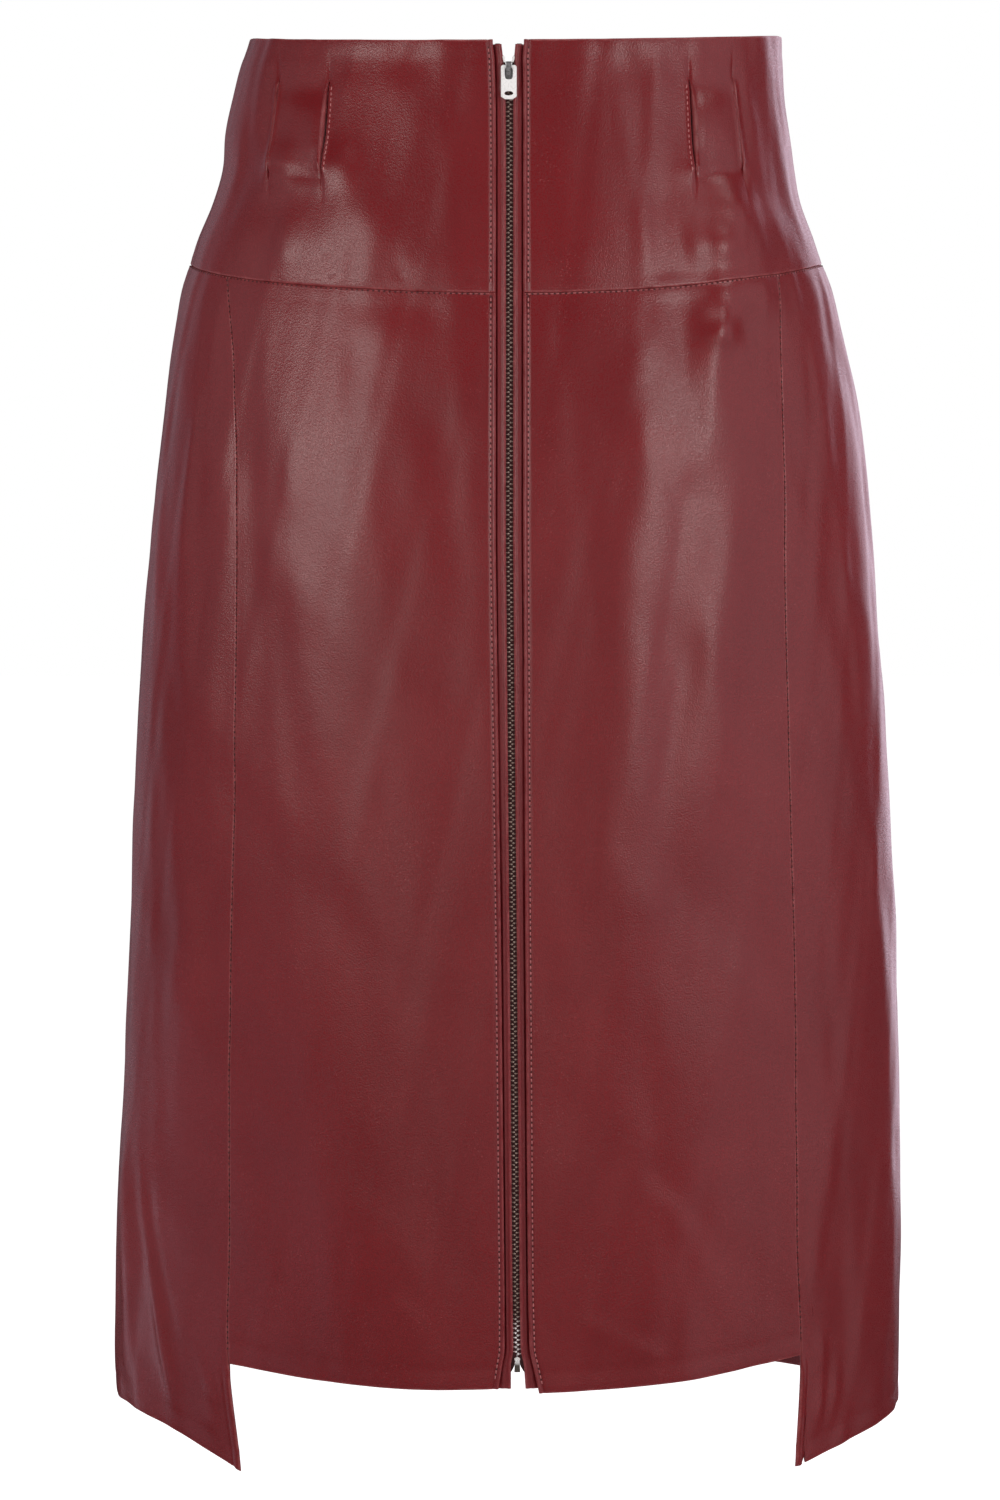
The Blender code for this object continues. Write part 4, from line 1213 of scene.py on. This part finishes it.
# Area lights that face the skirt's middle, in metres. Azimuth 0 is in front, away is from the
# skirt's axis, lean tips the light's top to the right in degrees, and glow is its brightness.
LIGHTS = (
    # name, azimuth, away, height, wide, tall, lean, glow, colour
    ("key_left_upper", -47, 1.30, 0.035, 0.78, 0.27, -20, 6.2, WARM),
    ("key_left_lower", -34, 1.30, -0.265, 0.60, 0.35, -20, 1.2, WARM),
    ("key_right_upper", 42, 1.30, 0.035, 0.34, 0.27, 24, 7.2, WARM),
    ("key_right_lower", 32, 1.30, -0.240, 0.36, 0.30, 20, 2.0, WARM),
    ("front_left", -16, 1.60, -0.33, 0.42, 0.90, -8, 0.85, WARM),
    ("front_right", 12, 1.60, -0.36, 0.50, 0.75, 8, 0.75, WARM),
    ("fill_left", -84, 3.00, 0.42, 2.60, 1.70, 0, 0.48, ROSE),
    ("fill_right", 68, 3.00, 0.24, 4.00, 2.05, 0, 0.78, ROSE),
    ("low_left", -78, 2.60, -1.16, 2.40, 0.60, 0, 0.55, VIOLET),
    ("low_rim_left", -116, 2.20, -1.10, 0.70, 0.45, 0, 1.30, VIOLET),
    ("low_right", 72, 2.60, -1.14, 2.60, 0.70, 0, 0.62, ROSE),
    ("rim_left", -140, 3.00, 0.10, 2.00, 2.40, 0, 0.34, VIOLET),
    ("rim_right", 148, 3.00, 0.10, 1.60, 2.40, 0, 1.90, VIOLET),
    ("top", 0, 1.30, 2.40, 1.50, 1.50, 0, 3.0, PLAIN),
    ("top_right", 62, 1.70, 2.00, 1.30, 1.30, 0, 3.2, PLAIN),
)


def softbox(name, azimuth, away, height, wide, tall, lean, glow, colour):
    turn = math.radians(azimuth)
    place = Vector((away * math.sin(turn), -away * math.cos(turn), height))
    data = bpy.data.lights.new(name, "AREA")
    data.shape = "RECTANGLE"
    data.size, data.size_y = wide, tall
    data.energy = glow * math.pi * wide * tall
    data.color = colour
    thing = new_object(name, data)
    thing.visible_camera = False
    thing.location = place
    facing = (place - CENTRE).to_track_quat("Z", "Y") @ Quaternion((0, 0, 1), math.radians(-lean))
    thing.rotation_euler = facing.to_euler()


def backdrop(tree, socket, seen, glow):
    """Makes the surroundings pale to the camera, and as dim as studio walls to the skirt."""
    path = tree.nodes.new("ShaderNodeLightPath")
    strength = tree.nodes.new("ShaderNodeMapRange")
    strength.inputs["To Min"].default_value = glow
    strength.inputs["To Max"].default_value = seen
    tree.links.new(path.outputs["Is Camera Ray"], strength.inputs["Value"])
    tree.links.new(strength.outputs["Result"], socket)


def studio():
    for row in LIGHTS:
        softbox(*row)
    world = bpy.data.worlds.new("studio")
    bpy.context.scene.world = world
    world.use_nodes = True
    tree = world.node_tree
    background = tree.nodes["Background"]
    background.inputs["Color"].default_value = (1.0, 1.0, 1.0, 1.0)
    backdrop(tree, background.inputs["Strength"], WORLD_SEEN, WORLD_GLOW)
    bpy.context.scene.view_settings.view_transform = "Standard"


def pale_floor():
    mesh = bpy.data.meshes.new("floor")
    corners = [(x * FLOOR_REACH, y * FLOOR_REACH, FLOOR_HEIGHT)
               for x, y in ((-1, -1), (1, -1), (1, 1), (-1, 1))]
    mesh.from_pydata(corners, [], [(0, 1, 2, 3)])
    nodes = Nodes("floor_paint")
    shade = nodes.noise(3, 2, 0.5)
    colour = nodes.blend(shade, (0.86, 0.86, 0.86), (0.90, 0.90, 0.90))
    nodes.shader.inputs["Emission Color"].default_value = (1, 1, 1, 1)
    mesh.materials.append(nodes.finish(colour, 0.9, nodes.bump(shade, 0.1, 0.001)))
    backdrop(nodes.tree, nodes.shader.inputs["Emission Strength"], FLOOR_SEEN, FLOOR_GLOW)
    floor = new_object("floor", mesh)
    floor.visible_glossy = False


CAMERA_AT = (-0.006, -2.6, -0.1449)
FOCAL_PIXELS = 5200  # the camera's focal length, in the photo's pixels
PHOTO_HEIGHT = 1500
PIXELS_DOWN = 420  # from the photo's middle up to the camera's level
SENSOR = 36.0


def camera():
    data = bpy.data.cameras.new("camera")
    data.sensor_width = SENSOR
    data.lens = SENSOR * FOCAL_PIXELS / PHOTO_HEIGHT
    data.clip_start, data.clip_end = 0.05, 60
    thing = new_object("camera", data)
    thing.location = CAMERA_AT
    thing.rotation_euler = (math.pi / 2 - math.atan(PIXELS_DOWN / FOCAL_PIXELS), 0, 0)
    bpy.context.scene.camera = thing


def paint(node, material):
    """Gives a CAD node that stays its material."""
    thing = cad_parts[node]
    thing.data.materials.clear()
    thing.data.materials.append(material)


for side, word in SIDES:
    front_yoke(side, word)
    front_panel(side, word)
    side_panel(side, word)
    zip_facing(side, word)
    paint(f"zip_top_stop_{word}", NICKEL)
back_piece("leather_back", "back_panel", back_seam, panel_rounds(long_hem, rows=168), columns=110,
           top=YOKE_SEAM, bottom=HEM)
back_piece("leather_yoke_back", "yoke_back", side_seam, yoke_rounds(), columns=160,
           top=WAIST, bottom=YOKE_SEAM)
zip_tape()
zip_teeth()
all_stitches()
paint("zip_slider", DARK_METAL)
paint("zip_pull", NICKEL)
paint("zip_end_box", END_METAL)
studio()
pale_floor()
camera()
